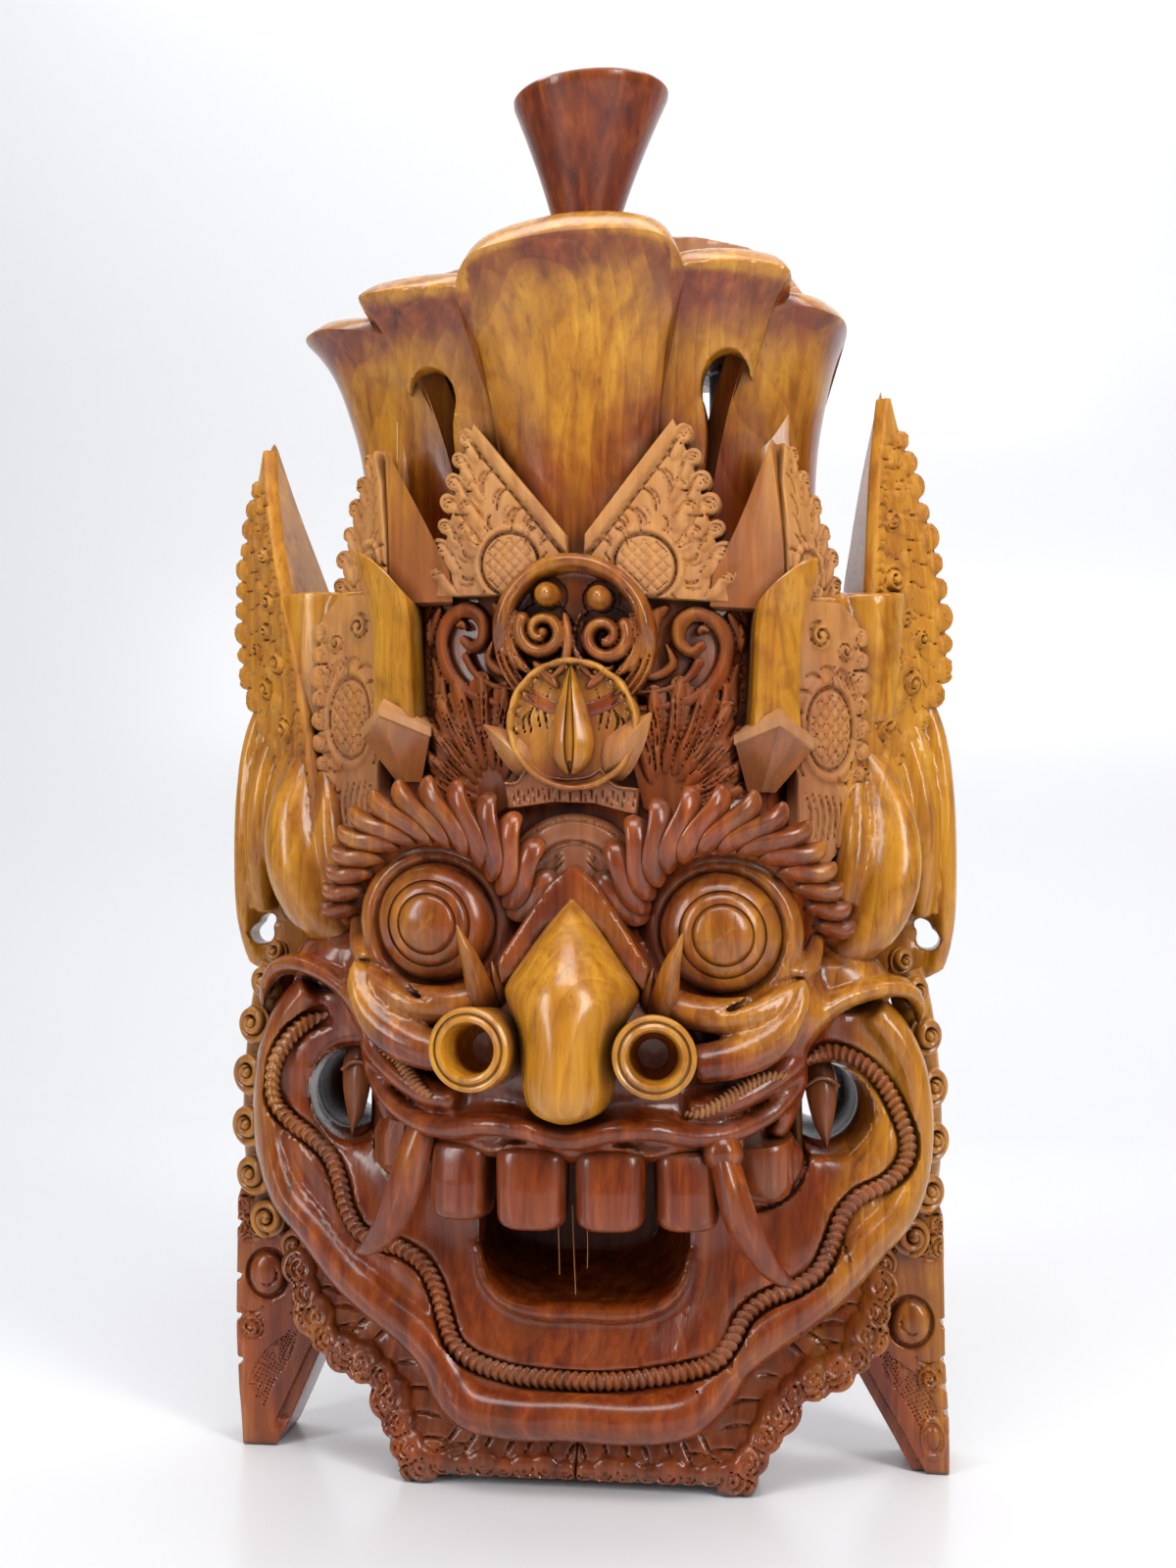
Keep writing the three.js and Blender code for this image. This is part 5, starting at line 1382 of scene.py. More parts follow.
def scroll_panel():
    R = Relief(10, 74, 318, 396, 0.78)
    R.fill([(12, 390), (40, 392), (58, 386), (69, 377), (70, 322), (40, 320), (20, 326), (12, 340)])
    R.sink([(26, 387), (48, 387.5), (60, 380), (66, 370), (66.5, 324), (40, 323), (24, 330), (20, 350), (22, 376)], 5.6, 1.2)
    # the question-mark curl with its trailing stem
    P = path2([(25, 329), (38, 330.5), (51, 336), (58.5, 346), (60.5, 357), (56, 366), (48, 369), (41.5, 364.5), (41, 357), (46, 353), (50, 356)], 90)
    t = np.linspace(0, 1, 90)
    R.stroke(P, np.interp(t, [0, 0.3, 0.7, 1], [1.4, 3.6, 3.6, 2.2]), np.interp(t, [0, 0.4, 1], [3.2, 5.4, 5.0]), "round", "add")
    R.stroke(P[:62] + 0.0, np.interp(t[:62], [0, 0.62], [0.5, 0.8]), 3.4)
    Q = path2([(25, 335.5), (36, 337), (44.5, 342), (49, 349)], 40)
    R.stroke(Q, np.linspace(1.1, 2.2, 40), 3.8, "round", "add")
    Q = path2([(24, 342), (33, 343), (38.5, 348), (36, 356)], 40)
    R.stroke(Q, lens(40, 2.0, 0.5), 3.6, "round", "add")
    # leaves that fill the ground
    for p, w in (([(64, 330), (63, 340), (65, 349)], 2.2), ([(57, 327), (60, 334), (60, 341)], 2.0), ([(46, 326), (52, 329), (54, 333)], 1.8), ([(66, 354), (65.5, 362), (61, 370)], 2.2), ([(63, 372), (56, 378), (48, 380)], 2.6),
                 ([(46, 376), (38, 379), (31, 378)], 2.4), ([(36, 371), (31, 366), (31, 358)], 2.6), ([(28, 372), (25.5, 364), (26, 356)], 2.2), ([(53, 362), (50.5, 363), (49, 361)], 1.2)):
        P = path2(p, 30)
        R.stroke(P, lens(30, w, 0.5) + 0.4, 4.0, "round", "add")
        R.stroke(P, lens(30, 0.7), 2.4)
    R.C = np.where(R.H > 1.0, np.minimum(R.C, 2.4), R.C)
    # small hooked leaves along the border
    for i in range(10):
        z = 326 + i * 5.2
        R.crescent(68.0, z, 2.2, 100, 260, 0.8, 2.0)
        R.dome(66.2, z + 2.4, 1.3, 1.6, 1.2)
    for i in range(8):
        x, z = 22 + i * 5.0, 389.0 - 0.10 * i * i
        R.crescent(x, z, 2.4, 190, 350, 0.85, 2.0)
    return R.mesh(12, 0, lambda x, z: -84.5 + 0.0052 * x * x - (z - 350) * 0.02, 0.9)


def medallion():
    R = Relief(-37, 37, 318, 394, 0.70)
    R.disc(0, 357, 33.5)
    q = R.q(0, 357, 1, 1)
    top = smooth((R.Z - 352) / 10)
    # roll rim over the top
    R.H = np.maximum(R.H, 7.0 * np.sqrt(np.clip(1 - ((q - 30.0) / 3.9) ** 2, 0, 1)) * (0.22 + 0.78 * top))
    R.C = np.maximum(R.C, 5.0 * smooth((27.6 - q) / 2.0))
    for x, z in ((-10.6, 373.5), (10.8, 372.5)):
        R.C = np.where(R.q(x, z, 7.6, 7.6) < 1.0, 6.5, R.C)
        R.dome(x, z, 5.4, 5.4, 11.5)
    for sgn, cx, cz in ((-1, -12.6, 358.5), (1, 12.8, 357.0)):
        t = np.linspace(0, 1, 80)
        a = np.radians(90 + sgn * -60) + sgn * -1 * t * 2 * np.pi * 1.30
        r = 9.6 * (1 - 0.70 * t)
        P = np.column_stack([cx + r * np.cos(a), cz + r * np.sin(a)])
        R.stroke(P, 3.3 - 1.2 * t, 7.0 + 1.0 * t, "round", "add")
        R.C = np.where(R.q(cx, cz, 12.6, 12.6) < 1, np.where(R.H > 1.0, 1.6, 7.4), R.C)
        R.dome(cx + 0.5, cz - 0.5, 2.5, 2.5, 8.0)
        # stem that feeds the curl, and leaves around it
        for p, w in (([(sgn * 3.5, 366), (sgn * 2.2, 356), (sgn * 3.4, 346), (sgn * 9, 339)], 2.3), ([(sgn * 23.5, 367), (sgn * 26, 358), (sgn * 24, 348), (sgn * 17, 341)], 2.6),
                     ([(sgn * 20.5, 378), (sgn * 25.5, 371), (sgn * 27, 364)], 2.2), ([(sgn * 16, 346), (sgn * 12, 342), (sgn * 6, 336)], 2.4)):
            P = path2(p, 30)
            R.stroke(P, lens(30, w, 0.5) + 0.3, 4.6, "round", "add")
            R.C = np.where((R.H > 1.4) & (R.q(cx, cz, 12.2, 12.2) >= 1), np.minimum(R.C, 1.0), R.C)
            R.stroke(P, lens(30, 0.6), 2.4)
    # little leaves round the rim
    for i in range(13):
        a = 200 - i * 18.5
        x, z = 27.8 * math.cos(math.radians(a)), 357 + 27.8 * math.sin(math.radians(a))
        R.crescent(x, z, 2.6, a + 110, a + 250, 0.8, 2.2)
    # nested grooves in the lower corners
    for sg in (-1, 1):
        for k in range(4):
            rr_ = 31.6 - 2.7 * k
            A = np.radians(np.linspace(270 + sg * (28 + 3 * k), 270 + sg * (82 - 7 * k), 26))
            R.stroke(np.column_stack([rr_ * np.cos(A), 357 + rr_ * np.sin(A)]), lens(26, 1.05, 0.5), 2.8)
    return R.mesh(10, 0, lambda x, z: -96.5 + 0.002 * x * x, 1.0)


def shell_disc():
    R = Relief(-32, 32, 288, 352, 0.62)
    # cusped disc with a thin raised edge
    a = np.arctan2(R.Z - 321, R.X); q = R.q(0, 321, 1, 1)
    cusps = 26.6 + 0.9 * np.abs(np.sin(a * 6.5))
    R.join(q - cusps)
    R.H = np.maximum(R.H, 2.6 * np.sqrt(np.clip(1 - ((q - 25.7) / 1.5) ** 2, 0, 1)))
    R.C = np.maximum(R.C, 2.4 * smooth((24.4 - q) / 1.0))
    for sg in (-1, 1):
        for x, z, hh, w in ((11.6, 327, 9.0, 1.25), (14.6, 326, 8.0, 1.0), (18.2, 322.5, 6.6, 1.15), (20.8, 321, 5.2, 0.9)):
            R.cut([(sg * (x - 2.6), z + hh), (sg * x, z + 1), (sg * (x - 1.4), z - hh)], w, 5.6)
        # hooked cusps inside the edge
        for b in (84, 66, 48, 30, 12, -6, -24):
            c, n = math.cos(math.radians(b)), math.sin(math.radians(b))
            R.crescent(sg * 22.0 * c, 321 + 22.0 * n, 2.3, (b if sg > 0 else 180 - b) - 130, (b if sg > 0 else 180 - b) + 130, 0.85, 4.4)
            R.dome(sg * 23.6 * c, 321 + 23.6 * n, 1.7, 1.7, 2.0)
        R.pit(sg * 9.2, 341, 0.9, 0.9, 1.3)
    return R.mesh(7, 0, lambda x, z: -102.5 + 0.0016 * x * x, 0.8)


def bud(x, z0, z1, w, y, lean=0.0, depth=9.0):
    """A closed leaf bud: two swelling halves and a narrow strip between them."""
    rows = [(0, 0.30), (0.06, 0.62), (0.16, 0.90), (0.28, 1.0), (0.5, 0.82), (0.72, 0.50), (0.9, 0.22), (1.0, 0.02)]
    t = np.linspace(0, 1, 44); wv = hermite(t, [r_[0] for r_ in rows], [r_[1] for r_ in rows]) * w
    rings = []
    for ti, wi in zip(t, wv):
        low = 3.2 * np.clip(1 - ti / 0.12, 0, 1)
        c = np.array([x + lean * ti ** 1.3, y, lerp(z0, z1, ti)])
        f = depth * (0.35 + 0.65 * (wi / w) ** 0.7)
        g = 0.20
        base = np.array([(-wi, 2, 0), (-wi * 0.98, -f * 0.30, 0), (-wi * 0.74, -f * 0.72, 0), (-wi * (g + 0.2), -f * 0.92, 0), (-wi * (g + 0.05), -f * 0.96, 0), (-wi * g, -f * 0.82, low), (0, -f * 0.98, low * 1.6), (wi * g, -f * 0.82, low),
                         (wi * (g + 0.05), -f * 0.96, 0), (wi * (g + 0.2), -f * 0.92, 0), (wi * 0.74, -f * 0.72, 0), (wi * 0.98, -f * 0.30, 0), (wi, 2, 0)])
        rings.append(c + base)
    return loft(rings)


def shards():
    """Faceted leaves on both sides of the bud; the right one is the larger."""
    return [bar([(13.5, -101, 303, 5, 7.2), (18, -106, 309, 6.4, 8.2), (25, -107, 318, 5.0, 5.6), (31.5, -105, 326.5, 0.8, 0.6)], 8, 16, 1.15),
            bar([(-18, -101, 303.5, 5, 6.6), (-23, -105, 308.5, 5.6, 6.8), (-30, -105, 314.5, 4.2, 4.6), (-37.5, -102, 320, 0.8, 0.6)], 8, 16, 1.15)]


def side_leafs():
    """A shell of long lobes with paired gouge cuts, its edge scalloped."""
    R = Relief(20, 72, 278, 344, 0.78)
    foot = np.array([33.0, 286.0])
    rim = path2([(24, 320), (28, 332), (38, 338.5), (50, 338), (60, 331), (66, 319), (67.5, 304), (63, 291)], 120)
    R.fill([tuple(p) for p in rim[::6]] + [(63, 291), (52, 283), (38, 281), (27, 288), (23, 304)])
    n = 8
    for i in range(n):
        p = rim[int((i + 0.5) / n * 119)]
        R.disc(p[0], p[1], 3.9)
        d = (foot - p); L = np.linalg.norm(d); d /= L; e = np.array([-d[1], d[0]])
        m = p + d * L * 0.30
        R.dome(m[0], m[1], L * 0.40, 3.4, 3.0, math.degrees(math.atan2(d[1], d[0])))
        R.crescent(p[0], p[1], 2.3, math.degrees(math.atan2(-d[1], -d[0])) - 100, math.degrees(math.atan2(-d[1], -d[0])) + 100, 0.8, 2.0)
        for off in (-0.75, 0.75):
            a = p + d * 3.6 + e * off * 1.3
            R.cut([a, a + d * L * 0.28 + e * 1.8, a + d * L * (0.55 if off > 0 else 0.44) + e * 1.0], 1.0, 3.0)
        if i:
            q = rim[int(i / n * 119)]
            d2 = (foot - q); d2 /= np.linalg.norm(d2)
            R.cut([q - d2 * 2.5, q + d2 * 9 + e * 2.0, q + d2 * 26 + e * 1.0], 1.25, 3.4)
    return R.mesh(10, 0, lambda x, z: -86.5 + 0.0044 * x * x + (z - 310) * 0.05, 1.0)


def fan_band():
    R = Relief(-34, 34, 278, 308, 0.62)
    top = path2([(-29, 297), (-23.5, 297.6), (-19, 304)], 14).tolist() + path2([(-18.6, 304), (-12, 300.6), (-3, 299.4), (6, 300.6), (11, 304)], 22).tolist() + path2([(11.4, 304), (17, 297.4), (26, 296)], 14).tolist()
    out = [(-27.5, 286)] + [tuple(p) for p in top] + [(25.5, 285), (8, 289.5), (-8, 289.5)]
    R.fill(out)
    d = R.poly(out)
    R.stroke(np.array(top), 1.5, 2.4, "round", "add")
    for i in range(24):
        x = -25.5 + i * 2.2
        R.stroke(np.linspace((x * 0.95, 286.5 + 3 * (1 - (x / 27) ** 2)), (x, 295.5 - 0.5 * (i % 2)), 14), lens(14, 0.50, 0.35), 1.5)
    return R.mesh(7, 0, lambda x, z: -99.5 + 0.004 * x * x, 0.8)


def arch_band():
    R = Relief(-36, 36, 250, 290, 0.7)
    q = R.q(0, 255, 1, 1.0)
    R.join(q - 30)
    R.D = np.maximum(R.D, 254 - R.Z)
    for r, d in ((27.4, 1.5), (18.5, 1.8)):
        R.C = np.maximum(R.C, d * np.clip(1 - np.abs(q - r) / 0.9, 0, 1))
    R.H = 2.6 * np.sqrt(np.clip(1 - ((q - 23) / 6) ** 2, 0, 1))
    for i in range(3):
        R.cut([(4, 266 + i * 2.6), (8, 262 + i * 2.6), (11, 258 + i)], 0.7, 1.4)
        R.cut([(-4, 266 + i * 2.6), (-8, 262 + i * 2.6), (-11, 258 + i)], 0.7, 1.4)
    return R.mesh(8, 0, lambda x, z: -92.5 + 0.004 * x * x, 1.2)


def post():
    """A plain upright blade, bent outwards at its slanting tip."""
    plan = [(69, -74), (72, -86.5), (74.5, -88.5), (90, -79.5), (93, -76), (92.5, -64), (80, -58), (70, -62)]
    P = np.array(subdiv([(x, y, 0) for x, y in plan], 5))
    rings = []
    for t in np.r_[0, 0.02, np.linspace(0.06, 0.94, 26), 0.985, 1.0]:
        k = np.clip((P[:, 0] - 69) / 24, 0, 1)
        high = 370.5 + 23.0 * (1 - (1 - k) ** 1.7)
        z = lerp(318.5, high, t)
        g = 1 - 0.04 * (t > 0.995)
        bend = 5.5 * smooth((z - 352) / 44) ** 1.5
        wid = 1.0 - 0.10 * np.sin(np.pi * np.clip((z - 318) / 60, 0, 1))
        rings.append(np.column_stack([81 + (P[:, 0] - 81) * g * wid - 2.0 * (1 - t) + bend, -72 + (P[:, 1] + 72) * g - 1.5 * smooth((z - 365) / 28), z]))
    body = loft(rings)
    # bracket: an inverted pyramid with an arris, under a thin chevron cap
    P0 = [(80.5, -76), (75, -84), (69, -79), (70, -70), (80, -68)]
    P1 = [(95.5, -74), (83, -94.5), (64.5, -84), (66, -66), (94, -62)]
    z1 = [314, 322.5, 314.5, 318, 318]
    sub = lambda pl, zz: subdiv([(x, y, z) for (x, y), z in zip(pl, zz)], 4)
    grow = lambda g, d: [(80 + (x - 80) * g, -76 + (y + 76) * g + d) for x, y in P1]
    low = loft([sub(P0, [296] * 5), sub(P1, z1)])
    cap = loft([sub(grow(0.99, 0), z1), sub(grow(1.05, 0), [z + 0.8 for z in z1]), sub(grow(1.05, 0), [z + 4.4 for z in z1]), sub(grow(0.80, 0), [z + 8.0 for z in z1])])
    return body, low, cap


# ------------------------------------------------- sides: wings, spikes, ears
ARRIS = [(268, 110, -64), (290, 113, -60), (330, 120, -53), (378, 128, -47), (405, 132.5, -41), (430, 136.5, -33), (448, 139.5, -26), (464, 141.5, -20)]
OUTER = [(268, 115, -56), (290, 126, -44), (318, 142, -30), (338, 153, -20), (352, 157.5, -16), (380, 157.5, -15), (400, 156, -14), (430, 151, -14), (448, 146.5, -15), (464, 142.6, -18)]
INNER = [(268, 106, -30), (330, 112, -14), (378, 117, -8), (405, 124, -6), (430, 131, -7), (448, 136, -9), (464, 140, -14)]


def along(table, z):
    T = np.asarray(table, float)
    return np.stack([hermite(np.clip(z, T[0, 0], T[-1, 0]), T[:, 0], T[:, k]) for k in (1, 2)], -1)


def spike_body():
    rings = []
    for z in np.linspace(270, 463.5, 70):
        a, o, i = (along(t, np.array([z]))[0] for t in (ARRIS, OUTER, INNER))
        m = (a + o) / 2
        back = np.array([(o[0] + i[0]) / 2, -3.0 if z < 440 else lerp(-3.0, -12, (z - 440) / 24)])
        n = np.array([(o - a)[1], -(o - a)[0]]); n /= np.linalg.norm(n) + 1e-9
        if z > 455:
            back[1] = min(back[1], i[1] + 3)
        pts = [i, a + (a - i) * 0.0, a - n * 0.4, m - n * 2.2, o - n * 1.4, back]
        rings.append([(x, y, z) for x, y, _ in subdiv([(p[0], p[1], 0) for p in pts], 6)])
    tip = np.array(rings[-1]).mean(0)
    rings.append([tuple(tip + (np.array(p) - tip) * 0.2 + (0, 0, 2.6)) for p in rings[-1]])
    return loft(rings)


def wing_relief():
    """The carved face of the wing, unrolled: u runs from the front arris to the outer edge."""
    zz = np.linspace(272, 462, 80)
    W = np.linalg.norm(along(OUTER, zz) - along(ARRIS, zz), axis=1)
    R = Relief(-4, 52, 266, 470, 0.90)
    Wz = np.interp(R.Z, zz, W)
    R.join(np.maximum(np.maximum(R.X - Wz, -R.X), np.maximum(270 - R.Z, R.Z - 463)))
    edge = [(np.interp(z, zz, W) - 1.2, z) for z in np.linspace(292, 452, 16)]
    R.leafage(edge, 15, 5.4, side=1, grow=0.18, depth=2.0, arcs=3, tail=2.4, lift=2.2, phase=0.3)
    mid = [(np.interp(z, zz, W) * 0.5, z) for z in np.linspace(296, 440, 14)]
    R.leafage(mid, 10, 4.6, side=1, grow=0.0, depth=2.0, arcs=2, hold=False, tail=2.2, lift=1.8, phase=0.7)
    for u, z, r, hnd in ((14, 352, 7, 1), (17, 322, 6.4, -1), (28, 340, 6, 1), (12, 384, 6, -1), (20, 368, 5, 1), (10, 408, 4.6, 1), (9, 300, 5, -1), (31, 360, 4.5, -1)):
        R.curl(u, z, r, 90 * hnd, hnd, 1.5, 3.2, 1.6)
    for i in range(16):
        z = 282 + i * 9.4
        R.cut([(1.0, z), (5.0, z + 1.5), (8.5, z - 2.0)], 1.1, 2.0)
        R.cut([(2.0, z + 4), (6.0, z + 5.0), (8.0, z + 2.5)], 0.8, 1.4)
    m = R.mesh(3.4, 3.5, None, 1.2)

    def wrap(V):
        a, o = along(ARRIS, V[:, 2]), along(OUTER, V[:, 2])
        w = np.linalg.norm(o - a, axis=1)[:, None]
        d = (o - a) / w
        n = np.stack([-d[:, 1], d[:, 0]], -1)
        n = np.where((n[:, 1] > 0)[:, None], -n, n)
        p = a + d * V[:, :1] + n * (-V[:, 1:2])
        return np.column_stack([p, V[:, 2]])
    return moved(m, wrap)


def side_field():
    """Block between the post and the wing, the ledge on it, and the ear."""
    h = 1.5
    F = Field((70, -80, 200), (168, 6, 392), h, band=4)
    blk = [[(84, -60, z), (88, -70 + g, z), (106, -62 + g, z), (118, -50 + g, z), (130, -36, z), (132, -6, z), (84, -6, z)] for z, g in ((262, 6), (280, 1), (300, 0), (345, 0), (376, 0), (379, 2))]
    F.stamp(loft([subdiv(r, 8) for r in blk]), k=1)
    # plain drum under the ledge
    F.stamp(turned([(0, 0), (22, 0), (24, 30), (25, 52), (26, 56), (0, 57)], (117, -30, 324), 48, axis=(0, 0, 1)), k=1.5)
    # ear: an upright leaf of soft folds
    ear = [(112, 232), (120, 217), (138, 211), (153, 213), (160, 226), (161, 250), (159.5, 272), (157, 292), (156, 312), (153, 330), (147, 342), (136, 342), (120, 322), (110, 290)]
    e = curve([(a, 0, b) for a, b in ear + ear[:1]], 120)[:-1]
    F.stamp(prism([(p[0], p[2]) for p in e], -19, -4), k=3)
    folds = [([(146, -18, 340, 5, 5), (154, -20, 318, 7, 5), (158, -20, 292, 8, 4.6), (159, -20, 262, 8, 4.6), (158, -18, 236, 8, 4.6), (154, -15, 216, 5, 4)], 2.5),
             ([(134, -24, 338, 6, 7), (143, -28, 314, 9, 7.5), (148, -29, 288, 10, 7), (149, -28, 262, 9, 6), (148, -24, 240, 6, 5)], 2.0),
             ([(122, -30, 326, 8, 8), (130, -36, 305, 11, 9), (135, -38, 282, 11, 9), (135, -36, 262, 10, 8)], 2.0),
             # the big hooked lobe in front
             ([(120, -46, 312, 5, 5), (127, -50, 296, 9, 9), (130, -54, 278, 12, 12.5), (128, -57, 260, 13, 14), (122, -58, 244, 12.5, 13), (113, -60, 233, 11, 10), (104, -62, 228, 7, 6.5)], 1.5),
             ([(116, -52, 300, 6, 4), (114, -58, 284, 8, 6), (112, -62, 266, 8, 6.5), (108, -64, 250, 7, 6)], 2.0)]
    for pts, k in folds:
        F.stamp(bar(pts, 30, 90, 2.0), k=k)
    for pts in ([(138, -34, 336, 7, 1.1), (147, -38, 312, 7, 1.1), (153.5, -38, 288, 7, 1.2), (154.5, -38, 262, 7, 1.2), (153, -34, 240, 6, 0.8)],
                [(127, -40, 326, 7, 1.1), (138, -46, 304, 7, 1.2), (143, -46, 280, 7, 1.2), (143, -44, 258, 7, 1.2), (142, -40, 240, 6, 0.8)],
                [(113, -76, 288, 6, 0.9), (121, -80, 272, 8, 1.0), (117, -80, 252, 8, 1.0), (108, -76, 240, 6, 0.7)]):
        F.stamp(bar(pts, 14, 60), "cut", k=1.0)
    # eyelet for a cord at the foot of the ear, a round hole with a slit above it
    F.stamp(prism(ring2((151, 229), (5.2, 4.6), 30), -40, 6), "cut", k=1.2)
    F.stamp(prism([(144, 235), (150, 231), (153, 236), (147, 239)], -40, 6), "cut", k=1.2)
    F.soften(1)
    return F


def side_panel():
    """The face of the side block: hatched oval, curl and long gouges."""
    R = Relief(-2, 40, 262, 380, 0.86)
    R.fill([(0, 377), (24, 376), (33, 368), (35, 340), (33, 300), (28, 276), (14, 264), (2, 270)])
    R.hatch(17, 323, 11.5, 17.5, 3.9, 0.65, 1.3)
    R.curl(12, 362, 6.0, 90, 1, 1.4, 2.6, 1.4)
    R.curl(25, 356, 4.4, -60, -1, 1.4, 2.2, 1.3)
    for a in range(-60, 250, 26):
        c, n = math.cos(math.radians(a)), math.sin(math.radians(a))
        R.crescent(17 + 15.5 * c, 323 + 22 * n, 4.2, a - 120, a + 40, 1.1, 2.0)
    R.leafage([(34, 366), (35, 340), (33, 305), (28, 280)], 9, 4.4, side=1, grow=0.1, depth=1.9, arcs=2, tail=2.0, lift=1.6)
    for i in range(7):
        x = 5 + i * 3.3
        R.cut([(x, 297), (x + 2.6, 286), (x + 1.0, 271 + i)], 1.1, 2.0)
    for i in range(5):
        R.cut([(20 + 2.6 * i, 350 - i), (18 + 2.6 * i, 344), (19 + 3 * i, 338)], 1.0, 1.8)
    m = R.mesh(3.5, 6, None, 1.1)
    return moved(around(m, 0, 0, 30), lambda V: V + (86.5, -70.5, 0))


# --------------------------------------------------------- mane, feet, seat
def mane_panel():
    R = Relief(-2, 150, -1, 118, 0.95)
    edge = [(128, 88), (121, 68), (112, 54), (100, 49), (89, 44), (82, 33), (76, 22), (69, 10), (62, 4)]
    inner = [(0, 60), (0, 4), (62, 4)] + edge[::-1][1:] + [(126, 108), (104, 112), (60, 90)]
    R.fill(inner)
    R.leafage(edge, 11, 8.0, side=-1, grow=0.10, depth=3.0, arcs=4, tail=1.6, lift=4.0, phase=0.4, fan=30)
    R.leafage([(62, 6), (44, 5.6), (22, 5.6), (0, 5.6)], 7, 6.6, side=-1, grow=-0.25, depth=2.6, arcs=3, hold=False, tail=2.0, lift=3.0, fan=20)
    R.D = np.maximum(R.D, 0.4 - R.Z)
    ys = lambda x, z: np.interp(z, [0, 14, 50, 90, 120], [-70, -72, -60, -46, -38]) + 0.0 * x + 0.05 * np.maximum(x - 60, 0)
    return R.mesh(4.5, 22, ys, 1.6)


def side_curls():
    pos = [(138, 222, 6.5), (143.5, 209, 8.2), (148, 190, 9.6), (150, 168, 10.2), (150.4, 145, 10.4), (148.6, 123, 10.2), (142, 103.5, 9.6), (129, 92, 8.8)]
    out = []
    for i, (x, z, r) in enumerate(pos):
        m = volute(r, 0.31 * r, 1.7, 80, 3.4)
        m = moved(m, lambda V: turn(V, (150 if i < 6 else 100) + 17 * (i % 3), "y"))
        out.append(aim(m, (x - 1.0, -39 - (1.5 if i > 5 else 0), z), yaw=32 if i < 6 else 20))
    return out


def shift_r(V):
    k = smooth((V[:, 2] - 330) / 130)
    return np.column_stack([V[:, 0] - 10.5 * k - 2.5, V[:, 1], V[:, 2] + 4.5 * k])


def shift_l(V):
    k = smooth((V[:, 2] - 330) / 130)
    return np.column_stack([V[:, 0] - 5.0 * k - 2.5, V[:, 1], V[:, 2] - 12 * k])


def side_backing():
    pos = [(143, 216), (147, 200), (149.5, 180), (151, 160), (151, 140), (149, 122), (143, 104), (131, 92)]
    return bar([(x - 3, -28, z, 9, 8.5) for x, z in pos], 24, 90)


def foot_panel(left=False):
    R = Relief(108, 166, -1, 132, 0.75)
    R.fill([(116, 124), (123, 96), (122, 74), (116, 50), (122, 38), (141, 0.4), (157, 0.4), (157.6, 24), (157.2, 70), (156.5, 112), (152, 124), (138, 130)])
    if left:
        steps = [(157, 100), (157, 76), (157, 58), (157, 38)]
    else:
        steps = [(157.5, 66), (157.5, 50), (157.5, 38), (157.5, 27)]
    for x, z in steps:
        R.D = np.maximum(R.D, -R.poly([(x + 4, z + 2.2), (x - 2.4, z + 1.4), (x - 1.2, z - 1.6), (x + 4, z - 1.2)]))
    # egg with a leaf folded over it
    ez = 78 if left else 66
    R.dome(142.5, ez, 8.2, 9.4, 3.6)
    q = R.q(142.5, ez, 8.2, 9.4)
    R.C = np.maximum(R.C, 2.6 * np.clip(1 - np.abs((q - 1.12) * 8.4) / 1.3, 0, 1))
    R.crescent(142.5, ez, 4.6, 130, 330, 1.0, 1.8)
    R.curl(150, ez - 24, 5.4, 40, -1, 1.5, 2.8, 1.4)
    R.curl(131, 96, 5.6, 120, 1, 1.5, 2.8, 1.4); R.curl(147, 98, 5.0, 60, -1, 1.5, 2.6, 1.4); R.curl(137, 116, 5.4, 200, 1, 1.5, 2.6, 1.4)
    R.leafage([(153, 122), (155, 108), (155, 94)], 3, 4.6, side=1, grow=0, depth=2.0, arcs=3, hold=False)
    for i in range(7):
        k = i * 2.7
        R.cut([(128 - 0.2 * k + k * 0.55, 58 - k * 0.4), (132 + k * 0.8, 44 - k * 0.15), (141 + k * 0.62, 30 + k * 0.1), (147 + 0.35 * k, 17 + k * 0.5)], 1.15, 2.0)
    for i in range(5):
        R.crescent(150, ez - 12 - i * 2.8, 6.0, 200, 330, 0.9, 1.8)
    for i in range(5):
        R.crescent(127 + i * 1.2, 84 - i * 4.6, 5.0, 140, 280, 0.95, 1.9)
    if not left:
        R.hatch(150.5, 16, 3.6, 6.0, 9, 0.1, 0.1, rise=1.4)
    # plain dark strip along the inner edge
    d = np.abs((R.X - 118) * (0 - 46) - (R.Z - 46) * (142 - 118)) / math.hypot(24, 46)
    band = smooth((5.0 - d) / 1.0) * (R.Z < 52)
    R.C *= 1 - band; R.H *= 1 - band; R.C = np.maximum(R.C, 3.2 * band)
    R.D = np.maximum(R.D, 0.35 - R.Z)
    low = smooth((14 - R.Z) / 6) if left else 0 * R.Z
    R.C *= 1 - low; R.H *= 1 - low
    return R.mesh(5, 30, lambda x, z: np.interp(z, [0, 60, 130], [-33, -35, -34]) + 0 * x, 1.4)


# ------------------------------------------------------------------ assembly
camera()
stage()
S = log_tone
both = lambda m: [m, flip(m)]


def all_both(ms):
    return [k for m in ms for k in both(m)]


def part(name, items, sharp=35):
    build(name, [(m, t) for m, t in items], sharp)




def face_base(V):
    """The jaw and the lips are cut from heartwood, the rim at the sides from sapwood."""
    x, z = np.abs(V[:, 0]), V[:, 2]
    side = 0.18 * smooth((V[:, 0] - 86) / 20) - 0.28 * smooth((-92 - V[:, 0]) / 20) * smooth((z - 60) / 30)
    return -0.72 * smooth((108 - x) / 34) * smooth((205 - z) / 34) - 0.30 * smooth((60 - z) / 30) + side


